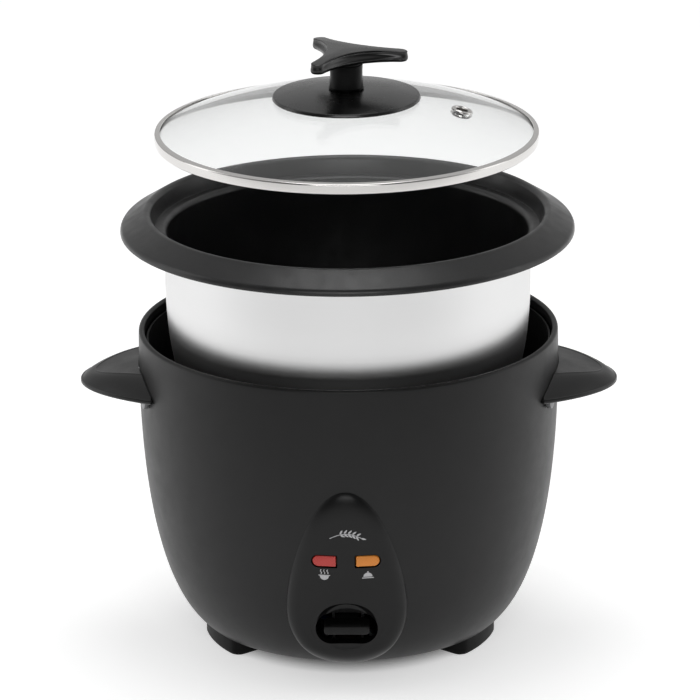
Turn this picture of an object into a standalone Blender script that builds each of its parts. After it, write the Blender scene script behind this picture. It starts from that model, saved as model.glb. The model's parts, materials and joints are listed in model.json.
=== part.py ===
"""A drum-shaped rice cooker with its glass lid and its inner pot lifted clear, one above the other.

Units are metres, +Z is up and the origin is on the floor under the middle of the cooker. The controls
face -Y, the handles point along X and the power inlet is at the back, at +Y.
"""

import math

import bmesh
import bpy
from mathutils import Matrix, Vector

MM = 0.001
GAP = 0.3 * MM
TURN_STEPS = 36
SMALL_TURN_STEPS = 16

# Outer housing: a barrel whose wall is one cubic curve from the rim down to the bottom edge.
HOUSING_TOP = 172.0 * MM
HOUSING_BOTTOM = 9.0 * MM
HOUSING_WALL = 1.5 * MM
HOUSING_CURVE = [
    (113.0 * MM, 170.4 * MM),
    (114.6 * MM, 99.0 * MM),
    (106.4 * MM, 29.0 * MM),
    (80.5 * MM, HOUSING_BOTTOM),
]
ROLL_RADIUS = 1.6 * MM
ROLL_LIP_BOTTOM = 167.0 * MM

# Inner liner: the black drum between the housing and the pot, with the deck that carries the heater.
LINER_TOP_RADIUS = 108.8 * MM
LINER_LOW_RADIUS = 102.0 * MM
LINER_TOP = 166.6 * MM
LINER_SHEET = 1.0 * MM
DECK_TOP = 51.0 * MM
DECK_HOLE_RADIUS = 17.0 * MM

# Base plate and feet.
BASE_RADIUS = 78.5 * MM
BASE_BOTTOM = 9.0 * MM
BASE_SHEET = 1.6 * MM
BASE_LIP = 6.0 * MM
VENT_COUNT = 12
FOOT_OUTER = 79.5 * MM
FOOT_INNER = 60.0 * MM
FOOT_HALF_ANGLE = math.radians(17.5)
FOOT_HEIGHT = 8.7 * MM
FOOT_SCREW_RADIUS = 68.0 * MM
# Angle of each foot from the front, towards +X.
FEET = {
    "foot_front_right": math.radians(67.0),
    "foot_back_right": math.radians(130.0),
    "foot_back_left": math.radians(-130.0),
    "foot_front_left": math.radians(-67.0),
}

# The pot as stored: lifted above its seat. Heights in the outline are from the bottom of its lip.
POT_LIFT = 53.7 * MM
POT_LIP_SEATED = HOUSING_TOP + 0.6 * MM
POT_LIP = POT_LIP_SEATED + POT_LIFT
POT_SHEET = 1.6 * MM
POT_DEPTH = 100.5 * MM
POT_WALL_RADIUS = 98.2 * MM
POT_FLAT_RADIUS = 72.0 * MM
POT_LIP_RADIUS = 120.2 * MM
SEAT_HEIGHT = 1.4 * MM

# The lid as stored: lifted above its seat in the pot's rim.
LID_LIFT = 47.4 * MM
LID_BOTTOM = POT_LIP + SEAT_HEIGHT + GAP + LID_LIFT
BAND_RADIUS = 102.7 * MM
BAND_HEIGHT = 5.9 * MM
BAND_SHEET = 0.5 * MM
GLASS_RADIUS = 101.7 * MM
GLASS_SPHERE = 254.0 * MM
GLASS_TOP = LID_BOTTOM + 25.6 * MM
GLASS_SHEET = 3.5 * MM
VENT_PLACE = (61.4 * MM, -7.8 * MM)
VENT_HOLE_RADIUS = 3.2 * MM
KNOB_DISC_RADIUS = 39.3 * MM
STEM_RADIUS = 9.5 * MM
STAR_TOP = GLASS_TOP + 25.6 * MM
STAR_REACH = 33.0 * MM

# Heating plate, and the thermostat that stands through its middle.
PLATE_TOP = POT_LIP_SEATED - POT_DEPTH - GAP
PLATE_THICKNESS = 12.0 * MM
PLATE_RADIUS = 73.5 * MM
PLATE_HOLE_RADIUS = 17.0 * MM
ELEMENT_RADIUS = 50.0 * MM
ELEMENT_POINTS = 20
SPACER_CIRCLE = 63.0 * MM
CAP_TOP = PLATE_TOP + 0.6 * MM
CAP_TRAVEL = 3.0 * MM
MAGNET_TRAVEL = 7.36 * MM
FLANGE_TOP = 49.4 * MM
SPRING_STOP = 44.0 * MM

# Cook lever: pressed at the front, it turns on its pin and lifts the magnet at the cooker's axis.
LEVER_PIVOT_Y = -62.0 * MM
LEVER_PIVOT_Z = 33.0 * MM
LEVER_TAB_Z = 37.7 * MM
LEVER_TAB_WIDTH = 24.0 * MM
LEVER_TAB_HEIGHT = 4.6 * MM
LEVER_TAB_FRONT = -111.0 * MM
LEVER_WIDTH = 12.0 * MM
LEVER_SHEET = 1.6 * MM
LEVER_INNER_TOP = 28.6 * MM

# Control panel: an egg-shaped shell with its narrow end up, standing proud of the housing.
PANEL_MIDDLE_Z = 48.0 * MM
PANEL_HALF_WIDTH = 32.0 * MM
PANEL_RISE = 68.0 * MM
PANEL_DROP = 35.0 * MM
PANEL_BACK_Y = -80.0 * MM
PANEL_WALL = 2.4 * MM
WINDOW_CENTRE_X = 11.5 * MM
WINDOW_Z = 77.0 * MM
WINDOW_LENGTH = 13.9 * MM
WINDOW_HEIGHT = 7.4 * MM
LENS_DEPTH = 3.4 * MM
LAMP_RADIUS = 1.8 * MM
SLOT_LENGTH = 33.0 * MM
SLOT_BOTTOM = 28.6 * MM
SLOT_TOP = 45.6 * MM
SCOOP_CENTRE_Z = 38.8 * MM
SCOOP_SIZE = (17.4 * MM, 4.0 * MM, 13.9 * MM)

# Side handles: half-elliptical wings with a creased top, hollow underneath.
HANDLE_ROOT_X = 105.0 * MM
HANDLE_REACH = 40.0 * MM
HANDLE_HALF_WIDTH = 46.0 * MM
HANDLE_EDGE_Z = 141.8 * MM
HANDLE_EDGE_HEIGHT = 2.3 * MM
HANDLE_EDGE_DROOP = 1.2 * MM
CREASE_REACH = 32.0 * MM
CREASE_HALF_WIDTH = 27.0 * MM
HANDLE_TAPER = 1.9
HANDLE_POINTS = 28
CREASE_Z = 152.2 * MM
CREASE_DROOP = 5.2 * MM
HANDLE_WALL = 2.3 * MM
HANDLE_SCREW_Y = 15.0 * MM
HANDLE_SCREW_Z = 146.2 * MM

# Power inlet at the back.
INLET_Z = 34.0 * MM
INLET_WIDTH = 30.0 * MM
INLET_HEIGHT = 22.0 * MM
INLET_FRONT_Y = 76.0 * MM
INLET_BACK_Y = 102.0 * MM

# Colour, roughness and metallic value of each material.
FINISHES = {
    "black_coat": ((0.020, 0.020, 0.021), 0.50, 0.0),
    "liner_coat": ((0.012, 0.012, 0.012), 0.60, 0.0),
    "black_plastic": ((0.016, 0.016, 0.017), 0.42, 0.0),
    "pot_metal": ((0.70, 0.70, 0.70), 0.38, 1.0),
    "steel": ((0.62, 0.61, 0.60), 0.22, 1.0),
    "zinc_steel": ((0.50, 0.51, 0.52), 0.35, 1.0),
    "cast_aluminium": ((0.55, 0.55, 0.56), 0.45, 1.0),
    "glass": ((0.90, 0.93, 0.92), 0.03, 0.0),
    "red_lens": ((0.45, 0.03, 0.02), 0.20, 0.0),
    "amber_lens": ((0.60, 0.20, 0.02), 0.20, 0.0),
    "silicone": ((0.60, 0.58, 0.54), 0.60, 0.0),
    "ferrite": ((0.05, 0.05, 0.055), 0.55, 0.0),
    "brown_board": ((0.16, 0.07, 0.03), 0.60, 0.0),
    "ceramic": ((0.80, 0.78, 0.72), 0.50, 0.0),
    "brass": ((0.70, 0.52, 0.22), 0.30, 1.0),
    "brown_wire": ((0.14, 0.05, 0.02), 0.45, 0.0),
    "blue_wire": ((0.02, 0.09, 0.35), 0.45, 0.0),
}


# ---------------------------------------------------------------- scene, materials and curves


def clear_scene():
    for obj in list(bpy.data.objects):
        bpy.data.objects.remove(obj, do_unlink=True)


def collection_named(name):
    made = bpy.data.collections.new(name)
    bpy.context.scene.collection.children.link(made)
    return made


def finish_material(name):
    made = bpy.data.materials.get(name)
    if made is None:
        made = bpy.data.materials.new(name)
        made.use_nodes = True
        colour, roughness, metallic = FINISHES[name]
        shader = made.node_tree.nodes["Principled BSDF"]
        shader.inputs["Base Color"].default_value = (*colour, 1.0)
        shader.inputs["Roughness"].default_value = roughness
        shader.inputs["Metallic"].default_value = metallic
    return made


def place(name, mesh, finish):
    """Makes an object of the mesh, in the cooker's collection."""
    obj = bpy.data.objects.new(name, mesh)
    obj.data.materials.append(finish_material(finish))
    COOKER.objects.link(obj)
    return obj


def as_tool(obj):
    """Turns an object into a helper that only Boolean modifiers use."""
    COOKER.objects.unlink(obj)
    TOOLS.objects.link(obj)
    obj.hide_render = True
    obj.display_type = "WIRE"
    return obj


def combine(piece, tool, operation):
    modifier = piece.modifiers.new(tool.name, "BOOLEAN")
    modifier.operation = operation
    modifier.object = tool
    return piece


def cut(piece, *tools):
    for tool in tools:
        combine(piece, tool, "DIFFERENCE")
    return piece


def join(piece, *tools):
    for tool in tools:
        combine(piece, tool, "UNION")
    return piece


def bezier(points, count):
    """Points along a cubic curve, both ends included."""
    a, b, c, d = (Vector(p) for p in points)
    found = []
    for i in range(count + 1):
        t = i / count
        s = 1 - t
        found.append(tuple(a * s**3 + b * 3 * s * s * t + c * 3 * s * t * t + d * t**3))
    return found


def arc(centre, radius, start, end, count):
    """Points on an arc from one angle to the other, in degrees, both ends included."""
    found = []
    for i in range(count + 1):
        angle = math.radians(start + (end - start) * i / count)
        found.append((centre[0] + radius * math.cos(angle), centre[1] + radius * math.sin(angle)))
    return found


def thickened(path, thickness):
    """The closed outline of a sheet that has the path on its right-hand side."""
    far = []
    for i, point in enumerate(path):
        before = Vector(path[max(i - 1, 0)])
        after = Vector(path[min(i + 1, len(path) - 1)])
        here = Vector(point)
        first = (here - before) if i else (after - here)
        second = (after - here) if i < len(path) - 1 else (here - before)
        first.normalize()
        second.normalize()
        way = (first + second).normalized()
        normal = Vector((-way.y, way.x))
        stretch = max(0.5, Vector((-first.y, first.x)).dot(normal))
        far.append(tuple(here + normal * (thickness / stretch)))
    return list(path) + far[::-1]


def rounded(corners, radius, count=4):
    """A closed outline with each corner made an arc."""
    found = []
    for i, corner in enumerate(corners):
        here = Vector(corner)
        to_last = (Vector(corners[i - 1]) - here).normalized()
        to_next = (Vector(corners[(i + 1) % len(corners)]) - here).normalized()
        half = to_last.angle(to_next) / 2
        middle = here + (to_last + to_next).normalized() * (radius / math.sin(half))
        first = here + to_last * (radius / math.tan(half)) - middle
        start = math.degrees(math.atan2(first.y, first.x))
        turn = 180 - math.degrees(2 * half)
        if to_last.cross(to_next) > 0:
            turn = -turn
        found += arc(middle, radius, start, start + turn, count)
    return found


# ---------------------------------------------------------------- solids


def turned(name, outline, finish, steps=TURN_STEPS):
    """A solid turned about the vertical axis from an outline of (radius, height) points.

    An outline that touches the axis starts and ends there. Any other outline is a closed loop.
    """
    on_axis = any(radius == 0 for radius, _ in outline)
    area = sum(
        a[0] * b[1] - b[0] * a[1] for a, b in zip(outline, outline[1:] + outline[:1])
    )
    points = outline[::-1] if area > 0 else outline
    edges = [(i, i + 1) for i in range(len(points) - 1)]
    if not on_axis:
        edges.append((len(points) - 1, 0))
    mesh = bpy.data.meshes.new(name)
    mesh.from_pydata([(radius, 0, height) for radius, height in points], edges, [])
    obj = place(name, mesh, finish)
    screw = obj.modifiers.new("Turn", "SCREW")
    screw.axis = "Z"
    screw.steps = steps
    screw.render_steps = steps
    screw.use_merge_vertices = True
    screw.merge_threshold = 0.01 * MM
    return obj


def block(name, low, high, finish):
    """A box between two corners."""
    low, high = Vector(low), Vector(high)
    shape = bmesh.new()
    bmesh.ops.create_cube(shape, size=1.0)
    bmesh.ops.scale(shape, vec=high - low, verts=shape.verts)
    mesh = bpy.data.meshes.new(name)
    shape.to_mesh(mesh)
    shape.free()
    obj = place(name, mesh, finish)
    obj.location = (low + high) / 2
    return obj


def rod(name, radius, start, end, finish, sides=SMALL_TURN_STEPS):
    """A round bar from one point to another."""
    start, end = Vector(start), Vector(end)
    shape = bmesh.new()
    bmesh.ops.create_cone(
        shape,
        cap_ends=True,
        segments=sides,
        radius1=radius,
        radius2=radius,
        depth=(end - start).length,
    )
    mesh = bpy.data.meshes.new(name)
    shape.to_mesh(mesh)
    shape.free()
    obj = place(name, mesh, finish)
    obj.location = (start + end) / 2
    obj.rotation_mode = "QUATERNION"
    obj.rotation_quaternion = (end - start).to_track_quat("Z", "Y")
    return obj


def tube(name, points, radius, finish, resolution=0):
    """A wire or coil along a list of points, with closed ends."""
    curve = bpy.data.curves.new(name, "CURVE")
    curve.dimensions = "3D"
    curve.bevel_depth = radius
    curve.bevel_resolution = resolution
    curve.use_fill_caps = True
    spline = curve.splines.new("POLY")
    spline.points.add(len(points) - 1)
    for slot, point in zip(spline.points, points):
        slot.co = (*point, 1.0)
    obj = bpy.data.objects.new(name, curve)
    obj.data.materials.append(finish_material(finish))
    COOKER.objects.link(obj)
    return obj


def slab(name, outline, thickness, finish):
    """A flat outline in the object's own XY plane, extruded half its thickness each way."""
    half = thickness / 2
    return loft(name, [[(x, y, z) for x, y in outline] for z in (-half, half)], finish)


def upright(obj, y):
    """Stands a slab up, so that its own X and Y become X and Z, at the given depth."""
    obj.rotation_euler = (math.radians(90), 0, 0)
    obj.location = (0, y, 0)
    return obj


def fan_cap(ring):
    return [list(ring)]


def ladder_cap(ring):
    """Rungs across a ring that is a mirror image left to right, and whose first point is furthest right."""
    count = len(ring)
    half = count // 2
    faces = []
    for i in range(count // 4):
        for side in (1, -1):
            rung = [ring[side * i], ring[side * (i + 1)], ring[half - side * (i + 1)], ring[half - side * i]]
            faces.append(list(dict.fromkeys(rung))[::side])
    return faces


def loft(name, rings, finish, cap=fan_cap):
    """A solid skinned over closed rings that have the same number of points, capped at both ends."""
    shape = bmesh.new()
    rows = [[shape.verts.new(point) for point in ring] for ring in rings]
    count = len(rings[0])
    for low, high in zip(rows, rows[1:]):
        for i in range(count):
            k = (i + 1) % count
            shape.faces.new((low[i], low[k], high[k], high[i]))
    for face in cap(rows[0]):
        shape.faces.new(face[::-1])
    for face in cap(rows[-1]):
        shape.faces.new(face)
    if shape.calc_volume(signed=True) < 0:
        bmesh.ops.reverse_faces(shape, faces=shape.faces)
    mesh = bpy.data.meshes.new(name)
    shape.to_mesh(mesh)
    shape.free()
    return place(name, mesh, finish)


def on_circle(radius, angle, z=0.0):
    """A point at an angle from the front of the cooker towards +X."""
    return (radius * math.sin(angle), -radius * math.cos(angle), z)


# ---------------------------------------------------------------- housing, liner and base


def housing_path():
    """The outer face of the housing, from the rolled rim down to the bottom edge."""
    return bezier(HOUSING_CURVE, 9)


def make_envelope():
    """The housing's outside as a solid, a gap larger, for trimming what is fixed to it."""
    wall = [(radius + GAP, z) for radius, z in housing_path()]
    top = (wall[0][0], HOUSING_TOP + 10 * MM)
    bottom = (wall[-1][0], 0.0)
    outline = [(0, top[1]), top, *wall, bottom, (0, 0)]
    return as_tool(turned("housing_envelope", outline, "black_coat"))


def make_housing():
    wall = housing_path()
    rim_centre = (wall[0][0] - ROLL_RADIUS, wall[0][1])
    roll = arc(rim_centre, ROLL_RADIUS, 180, 0, 4)
    inner = [(radius - HOUSING_WALL, z) for radius, z in wall[1:]]
    lip = [
        (rim_centre[0] - ROLL_RADIUS, ROLL_LIP_BOTTOM),
        (rim_centre[0] - ROLL_RADIUS + 1.2 * MM, ROLL_LIP_BOTTOM),
    ]
    outline = roll + wall[1:] + inner[::-1] + [lip[1], lip[0]]
    housing = turned("outer_housing", outline, "black_coat")
    lever_hole = block(
        "lever_hole", (-17.5 * MM, -110 * MM, 26 * MM), (17.5 * MM, -80 * MM, 48 * MM), "black_coat"
    )
    lamp_hole = block(
        "lamp_hole", (-21 * MM, -120 * MM, 69 * MM), (21 * MM, -90 * MM, 85 * MM), "black_coat"
    )
    half_width = INLET_WIDTH / 2 + GAP
    half_height = INLET_HEIGHT / 2 + GAP
    inlet_hole = block(
        "inlet_hole",
        (-half_width, 70 * MM, INLET_Z - half_height),
        (half_width, 115 * MM, INLET_Z + half_height),
        "black_coat",
    )
    cut(housing, as_tool(lever_hole), as_tool(lamp_hole), as_tool(inlet_hole))
    for name, y, side in handle_screw_places():
        hole = rod(
            name + "_hole",
            2.3 * MM,
            (side * 100 * MM, y, HANDLE_SCREW_Z),
            (side * 120 * MM, y, HANDLE_SCREW_Z),
            "black_coat",
            12,
        )
        cut(housing, as_tool(hole))
    return housing


def make_liner():
    low_corner = (LINER_LOW_RADIUS - 18 * MM, DECK_TOP - LINER_SHEET + 18 * MM)
    path = [
        (DECK_HOLE_RADIUS, DECK_TOP - LINER_SHEET),
        *arc(low_corner, 18 * MM, -90, 0, 3),
        (LINER_TOP_RADIUS, LINER_TOP - 4 * MM),
        (LINER_TOP_RADIUS, LINER_TOP),
    ]
    return turned("inner_liner", thickened(path, LINER_SHEET), "liner_coat")


def make_base():
    path = [
        (0, BASE_BOTTOM),
        (BASE_RADIUS - 1.5 * MM, BASE_BOTTOM),
        (BASE_RADIUS, BASE_BOTTOM + 1.5 * MM),
        (BASE_RADIUS, BASE_BOTTOM + BASE_LIP),
    ]
    sheet = thickened(path, BASE_SHEET)
    base = turned("base_plate", sheet, "black_plastic")
    for i in range(VENT_COUNT):
        angle = 2 * math.pi * (i + 0.5) / VENT_COUNT
        vent = block(
            f"vent_{i}",
            (-1.5 * MM, -9 * MM, 0),
            (1.5 * MM, 9 * MM, 20 * MM),
            "black_plastic",
        )
        vent.location = on_circle(40 * MM, angle, 10 * MM)
        vent.rotation_euler = (0, 0, angle)
        cut(base, as_tool(vent))
    for name, angle in FEET.items():
        centre = on_circle(FOOT_SCREW_RADIUS, angle)
        hole = rod(
            name + "_base_hole",
            2.1 * MM,
            (centre[0], centre[1], 0),
            (centre[0], centre[1], 20 * MM),
            "black_plastic",
            12,
        )
        cut(base, as_tool(hole))
    return base


def foot_outline():
    """A sector of a ring with rounded corners, pointing along X."""
    half = FOOT_HALF_ANGLE
    middle = (FOOT_OUTER + FOOT_INNER) / 2
    depth = FOOT_OUTER - FOOT_INNER
    length = 2 * middle * half
    corners = [
        (-length / 2, -depth / 2),
        (length / 2, -depth / 2),
        (length / 2, depth / 2),
        (-length / 2, depth / 2),
    ]
    straight = []
    flat = rounded(corners, 5 * MM, 3)
    for i, point in enumerate(flat):
        after = flat[(i + 1) % len(flat)]
        span = Vector(after) - Vector(point)
        pieces = max(1, round(span.length / (7 * MM)))
        straight += [tuple(Vector(point) + span * (k / pieces)) for k in range(pieces)]
    bent = []
    for along, across in straight:
        radius = middle + across
        angle = along / middle
        bent.append((radius * math.cos(angle), radius * math.sin(angle)))
    return bent


def make_foot(name, angle):
    foot = slab(name, foot_outline(), FOOT_HEIGHT, "black_plastic")
    foot.location = (0, 0, FOOT_HEIGHT / 2)
    foot.rotation_euler = (0, 0, angle - math.pi / 2)
    x, y, _ = on_circle(FOOT_SCREW_RADIUS, angle)
    well = rod(name + "_well", 4.6 * MM, (x, y, -1 * MM), (x, y, 5 * MM), "black_plastic", 14)
    hole = rod(name + "_hole", 2.2 * MM, (x, y, 1 * MM), (x, y, 12 * MM), "black_plastic", 12)
    cut(foot, as_tool(well), as_tool(hole))
    outline = [
        (0, 15.0 * MM),
        (1.8 * MM, 14.4 * MM),
        (1.8 * MM, 4.7 * MM),
        (4.0 * MM, 4.7 * MM),
        (4.0 * MM, 3.4 * MM),
        (3.0 * MM, 2.6 * MM),
        (0, 2.6 * MM),
    ]
    screw = turned(name.replace("foot_", "foot_screw_"), outline, "zinc_steel", 8)
    screw.location = (x, y, 0)


# ---------------------------------------------------------------- heater and thermostat


def make_heater():
    low = PLATE_TOP - PLATE_THICKNESS
    outline = [
        (PLATE_HOLE_RADIUS, low),
        (PLATE_HOLE_RADIUS, PLATE_TOP - 1 * MM),
        (PLATE_HOLE_RADIUS + 1 * MM, PLATE_TOP),
        *arc((PLATE_RADIUS - 4 * MM, PLATE_TOP - 4 * MM), 4 * MM, 90, 0, 2),
        (PLATE_RADIUS, low + 2 * MM),
        (PLATE_RADIUS - 2 * MM, low),
    ]
    turned("heating_plate", outline, "cast_aluminium")
    element_z = (low + DECK_TOP) / 2
    ring = []
    for i in range(ELEMENT_POINTS + 1):
        angle = math.radians(20 + 320 * i / ELEMENT_POINTS)
        ring.append((ELEMENT_RADIUS * math.sin(angle), ELEMENT_RADIUS * math.cos(angle), element_z))
    tube("heating_element", ring, 3.4 * MM, "zinc_steel", 1)
    for i in range(3):
        x, y, _ = on_circle(SPACER_CIRCLE, math.radians(120 * i + 180))
        rod(
            f"plate_spacer_{i + 1}",
            4.0 * MM,
            (x, y, DECK_TOP + GAP),
            (x, y, low - GAP),
            "zinc_steel",
            12,
        )


def coil(radius, low, high, turns, per_turn=10):
    points = []
    for i in range(turns * per_turn + 1):
        share = i / (turns * per_turn)
        angle = 2 * math.pi * turns * share
        points.append((radius * math.cos(angle), radius * math.sin(angle), low + (high - low) * share))
    return points


def make_thermostat():
    flange = [
        (12.6 * MM, 48.0 * MM),
        (22.0 * MM, 48.0 * MM),
        (22.0 * MM, FLANGE_TOP),
        (12.6 * MM, FLANGE_TOP),
        (12.6 * MM, 61.0 * MM),
        (11.4 * MM, 61.0 * MM),
        (11.4 * MM, SPRING_STOP + 1.2 * MM),
        (3.2 * MM, SPRING_STOP + 1.2 * MM),
        (3.2 * MM, SPRING_STOP),
        (12.6 * MM, SPRING_STOP),
    ]
    turned("thermostat_body", flange, "zinc_steel", 20)
    skirt_bottom = CAP_TOP - 9.0 * MM
    cap = [
        (0, CAP_TOP),
        (14.0 * MM, CAP_TOP),
        (15.0 * MM, CAP_TOP - 1 * MM),
        (15.0 * MM, skirt_bottom),
        (13.4 * MM, skirt_bottom),
        (13.4 * MM, CAP_TOP - 1.2 * MM),
        (0, CAP_TOP - 1.2 * MM),
    ]
    turned("sensor_cap", cap, "cast_aluminium", 20)
    ferrite_bottom = CAP_TOP - 6.4 * MM
    rod(
        "ferrite_disc",
        10.6 * MM,
        (0, 0, ferrite_bottom),
        (0, 0, CAP_TOP - 1.5 * MM),
        "ferrite",
    )
    magnet_top = ferrite_bottom - CAP_TRAVEL - 0.4 * MM - MAGNET_TRAVEL
    magnet_bottom = magnet_top - 5.0 * MM
    rod("magnet", 10.0 * MM, (0, 0, magnet_bottom), (0, 0, magnet_top), "ferrite")
    collar_bottom = LEVER_INNER_TOP + 0.8 * MM
    collar_top = collar_bottom + 1.7 * MM
    plunger = [
        (0, magnet_bottom - GAP),
        (5.0 * MM, magnet_bottom - GAP),
        (5.0 * MM, magnet_bottom - 1.5 * MM),
        (2.2 * MM, magnet_bottom - 1.5 * MM),
        (2.2 * MM, collar_top),
        (5.2 * MM, collar_top),
        (5.2 * MM, collar_bottom + 0.5 * MM),
        (4.0 * MM, collar_bottom),
        (0, collar_bottom),
    ]
    turned("plunger_rod", plunger, "zinc_steel", 12)
    wire = 0.5 * MM
    rest = wire + GAP
    outer = coil(14.7 * MM, FLANGE_TOP + rest, skirt_bottom - rest, 3)
    tube("sensor_spring", outer, wire, "steel")
    tube("release_spring", coil(4.1 * MM, collar_top + rest, SPRING_STOP - rest, 4, 8), wire, "steel")


# ---------------------------------------------------------------- cook lever and switch

def make_lever():
    pivot = bpy.data.objects.new("cook_lever_pivot", None)
    pivot.location = (0, LEVER_PIVOT_Y, LEVER_PIVOT_Z)
    COOKER.objects.link(pivot)
    path = [
        (4 * MM, LEVER_INNER_TOP - LEVER_SHEET),
        (LEVER_PIVOT_Y + 12 * MM, LEVER_INNER_TOP - LEVER_SHEET),
        (LEVER_PIVOT_Y + 2 * MM, LEVER_PIVOT_Z - 1 * MM),
        (LEVER_PIVOT_Y - 10 * MM, LEVER_TAB_Z - LEVER_SHEET / 2),
        (LEVER_TAB_FRONT + 14.4 * MM, LEVER_TAB_Z - LEVER_SHEET / 2),
    ]
    arm = slab("lever_arm", thickened(path[::-1], LEVER_SHEET), LEVER_WIDTH, "zinc_steel")
    stand_across(arm)
    half = LEVER_WIDTH / 2
    boss = rod(
        "lever_boss",
        3.6 * MM,
        (-half, LEVER_PIVOT_Y, LEVER_PIVOT_Z),
        (half, LEVER_PIVOT_Y, LEVER_PIVOT_Z),
        "zinc_steel",
        12,
    )
    bore = rod(
        "lever_bore",
        1.8 * MM,
        (-20 * MM, LEVER_PIVOT_Y, LEVER_PIVOT_Z),
        (20 * MM, LEVER_PIVOT_Y, LEVER_PIVOT_Z),
        "zinc_steel",
        16,
    )
    join(arm, as_tool(boss))
    cut(arm, as_tool(bore))
    low = LEVER_TAB_Z - LEVER_TAB_HEIGHT / 2
    half_tab = LEVER_TAB_WIDTH / 2
    corners = [
        (-half_tab, low),
        (half_tab, low),
        (half_tab, low + LEVER_TAB_HEIGHT),
        (-half_tab, low + LEVER_TAB_HEIGHT),
    ]
    knob_depth = 14.0 * MM
    knob = slab("lever_knob", rounded(corners, 1.6 * MM, 3), knob_depth, "black_plastic")
    upright(knob, LEVER_TAB_FRONT + knob_depth / 2)
    bpy.context.view_layer.update()
    for piece in (arm, knob):
        piece.parent = pivot
        piece.matrix_parent_inverse = pivot.matrix_world.inverted()
    make_lever_bracket(bore)


def stand_across(obj):
    """Turns a slab so that its own X and Y become Y and Z, with its thickness across the cooker."""
    obj.rotation_euler = (math.radians(90), 0, math.radians(90))
    return obj


def make_lever_bracket(bore):
    inside = LEVER_WIDTH / 2 + 1.0 * MM
    outside = inside + 1.4 * MM
    floor = BASE_BOTTOM + BASE_SHEET + GAP
    low_y, high_y = LEVER_PIVOT_Y - 7 * MM, LEVER_PIVOT_Y + 7 * MM
    bracket = block(
        "lever_bracket", (-outside, low_y, floor), (outside, high_y, floor + 1.4 * MM), "zinc_steel"
    )
    for side in (-1, 1):
        ear = block(
            f"lever_ear_{side + 2}",
            (min(side * inside, side * outside), low_y, floor + 0.5 * MM),
            (max(side * inside, side * outside), high_y, LEVER_PIVOT_Z + 5 * MM),
            "zinc_steel",
        )
        join(bracket, as_tool(ear))
    cut(bracket, bore)
    rod(
        "lever_pin",
        1.5 * MM,
        (-outside - 2 * MM, LEVER_PIVOT_Y, LEVER_PIVOT_Z),
        (outside + 2 * MM, LEVER_PIVOT_Y, LEVER_PIVOT_Z),
        "steel",
        16,
    )


def make_switch():
    floor = BASE_BOTTOM + BASE_SHEET + GAP
    top = 21.0 * MM
    y = -37.0 * MM
    body = block("switch_block", (-7 * MM, y - 8 * MM, floor), (7 * MM, y + 8 * MM, top), "brown_board")
    hole = rod("switch_hole", 2.1 * MM, (0, y, floor + 2 * MM), (0, y, top + 5 * MM), "brown_board", 12)
    cut(body, as_tool(hole))
    rod(
        "switch_button",
        1.7 * MM,
        (0, y, floor + 3 * MM),
        (0, y, LEVER_INNER_TOP - LEVER_SHEET - 0.4 * MM),
        "ceramic",
        12,
    )


# ---------------------------------------------------------------- control panel


def panel_front(z):
    """The depth of the panel's face at a height: it leans back a little, and curls in at the foot."""
    lean = 0.118 * (z - 20 * MM)
    curl = 40 * max(0.0, 26 * MM - z) ** 2
    return -(105.5 * MM + lean - curl)


def panel_outline(inset, count=36):
    """The egg in the XZ plane, drawn in by an inset: superellipse halves above and below the middle."""
    found = []
    for i in range(count):
        angle = 2 * math.pi * i / count
        across, up = math.cos(angle), math.sin(angle)
        half_height, power = (PANEL_RISE, 1.62) if up >= 0 else (PANEL_DROP, 2.2)
        z = half_height * abs(up) ** (2 / power) * math.copysign(1, up)
        x = PANEL_HALF_WIDTH * across
        length = math.hypot(x, z)
        shrink = (length - inset) / length
        found.append((x * shrink, PANEL_MIDDLE_Z + z * shrink))
    return found


def panel_ring(inset, depth):
    """A ring of the panel, that far behind its face."""
    return [(x, panel_front(z) + depth, z) for x, z in panel_outline(inset)]


def flat_ring(inset, y):
    return [(x, y, z) for x, z in panel_outline(inset)]


def window_outline(side, clearance=0.0):
    """A window with a round outer end and a square inner end, on the left or right of the middle."""
    half = WINDOW_LENGTH / 2 - clearance
    radius = WINDOW_HEIGHT / 2 - clearance
    points = arc((half - radius, 0), radius, -90, 90, 6) + [(-half, radius), (-half, -radius)]
    return [(side * (WINDOW_CENTRE_X + x), WINDOW_Z + z) for x, z in points]


def pill(half_length, low, high):
    radius = (high - low) / 2 * 0.98
    corners = [(-half_length, low), (half_length, low), (half_length, high), (-half_length, high)]
    return rounded(corners, radius, 4)


def make_panel(envelope):
    rings = [
        flat_ring(0, PANEL_BACK_Y),
        panel_ring(0, 6.0 * MM),
        panel_ring(0.7 * MM, 3.0 * MM),
        panel_ring(2.4 * MM, 1.0 * MM),
        panel_ring(5.4 * MM, 0.0),
    ]
    panel = loft("control_panel", rings, "black_plastic", ladder_cap)
    cavity_rings = [
        flat_ring(PANEL_WALL, PANEL_BACK_Y + 5 * MM),
        panel_ring(PANEL_WALL, 8.0 * MM),
        panel_ring(PANEL_WALL + 3 * MM, PANEL_WALL),
    ]
    cut(panel, as_tool(loft("panel_cavity", cavity_rings, "black_plastic", ladder_cap)))
    face = panel_front(SCOOP_CENTRE_Z)
    outline = pill(SLOT_LENGTH / 2 + 3 * MM, SLOT_BOTTOM - 3 * MM, SLOT_TOP + 7 * MM)
    well = slab("panel_well", outline, 7.2 * MM, "black_plastic")
    join(panel, as_tool(upright(well, face + 4.9 * MM)))
    slot = slab("panel_slot", pill(SLOT_LENGTH / 2, SLOT_BOTTOM, SLOT_TOP), 60 * MM, "black_plastic")
    cut(panel, as_tool(make_scoop(face)), as_tool(upright(slot, -100 * MM)))
    for side, name in ((-1, "cook"), (1, "warm")):
        window = slab(name + "_window", window_outline(side), 60 * MM, "black_plastic")
        cut(panel, as_tool(upright(window, -110 * MM)))
    cut(panel, envelope)


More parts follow.
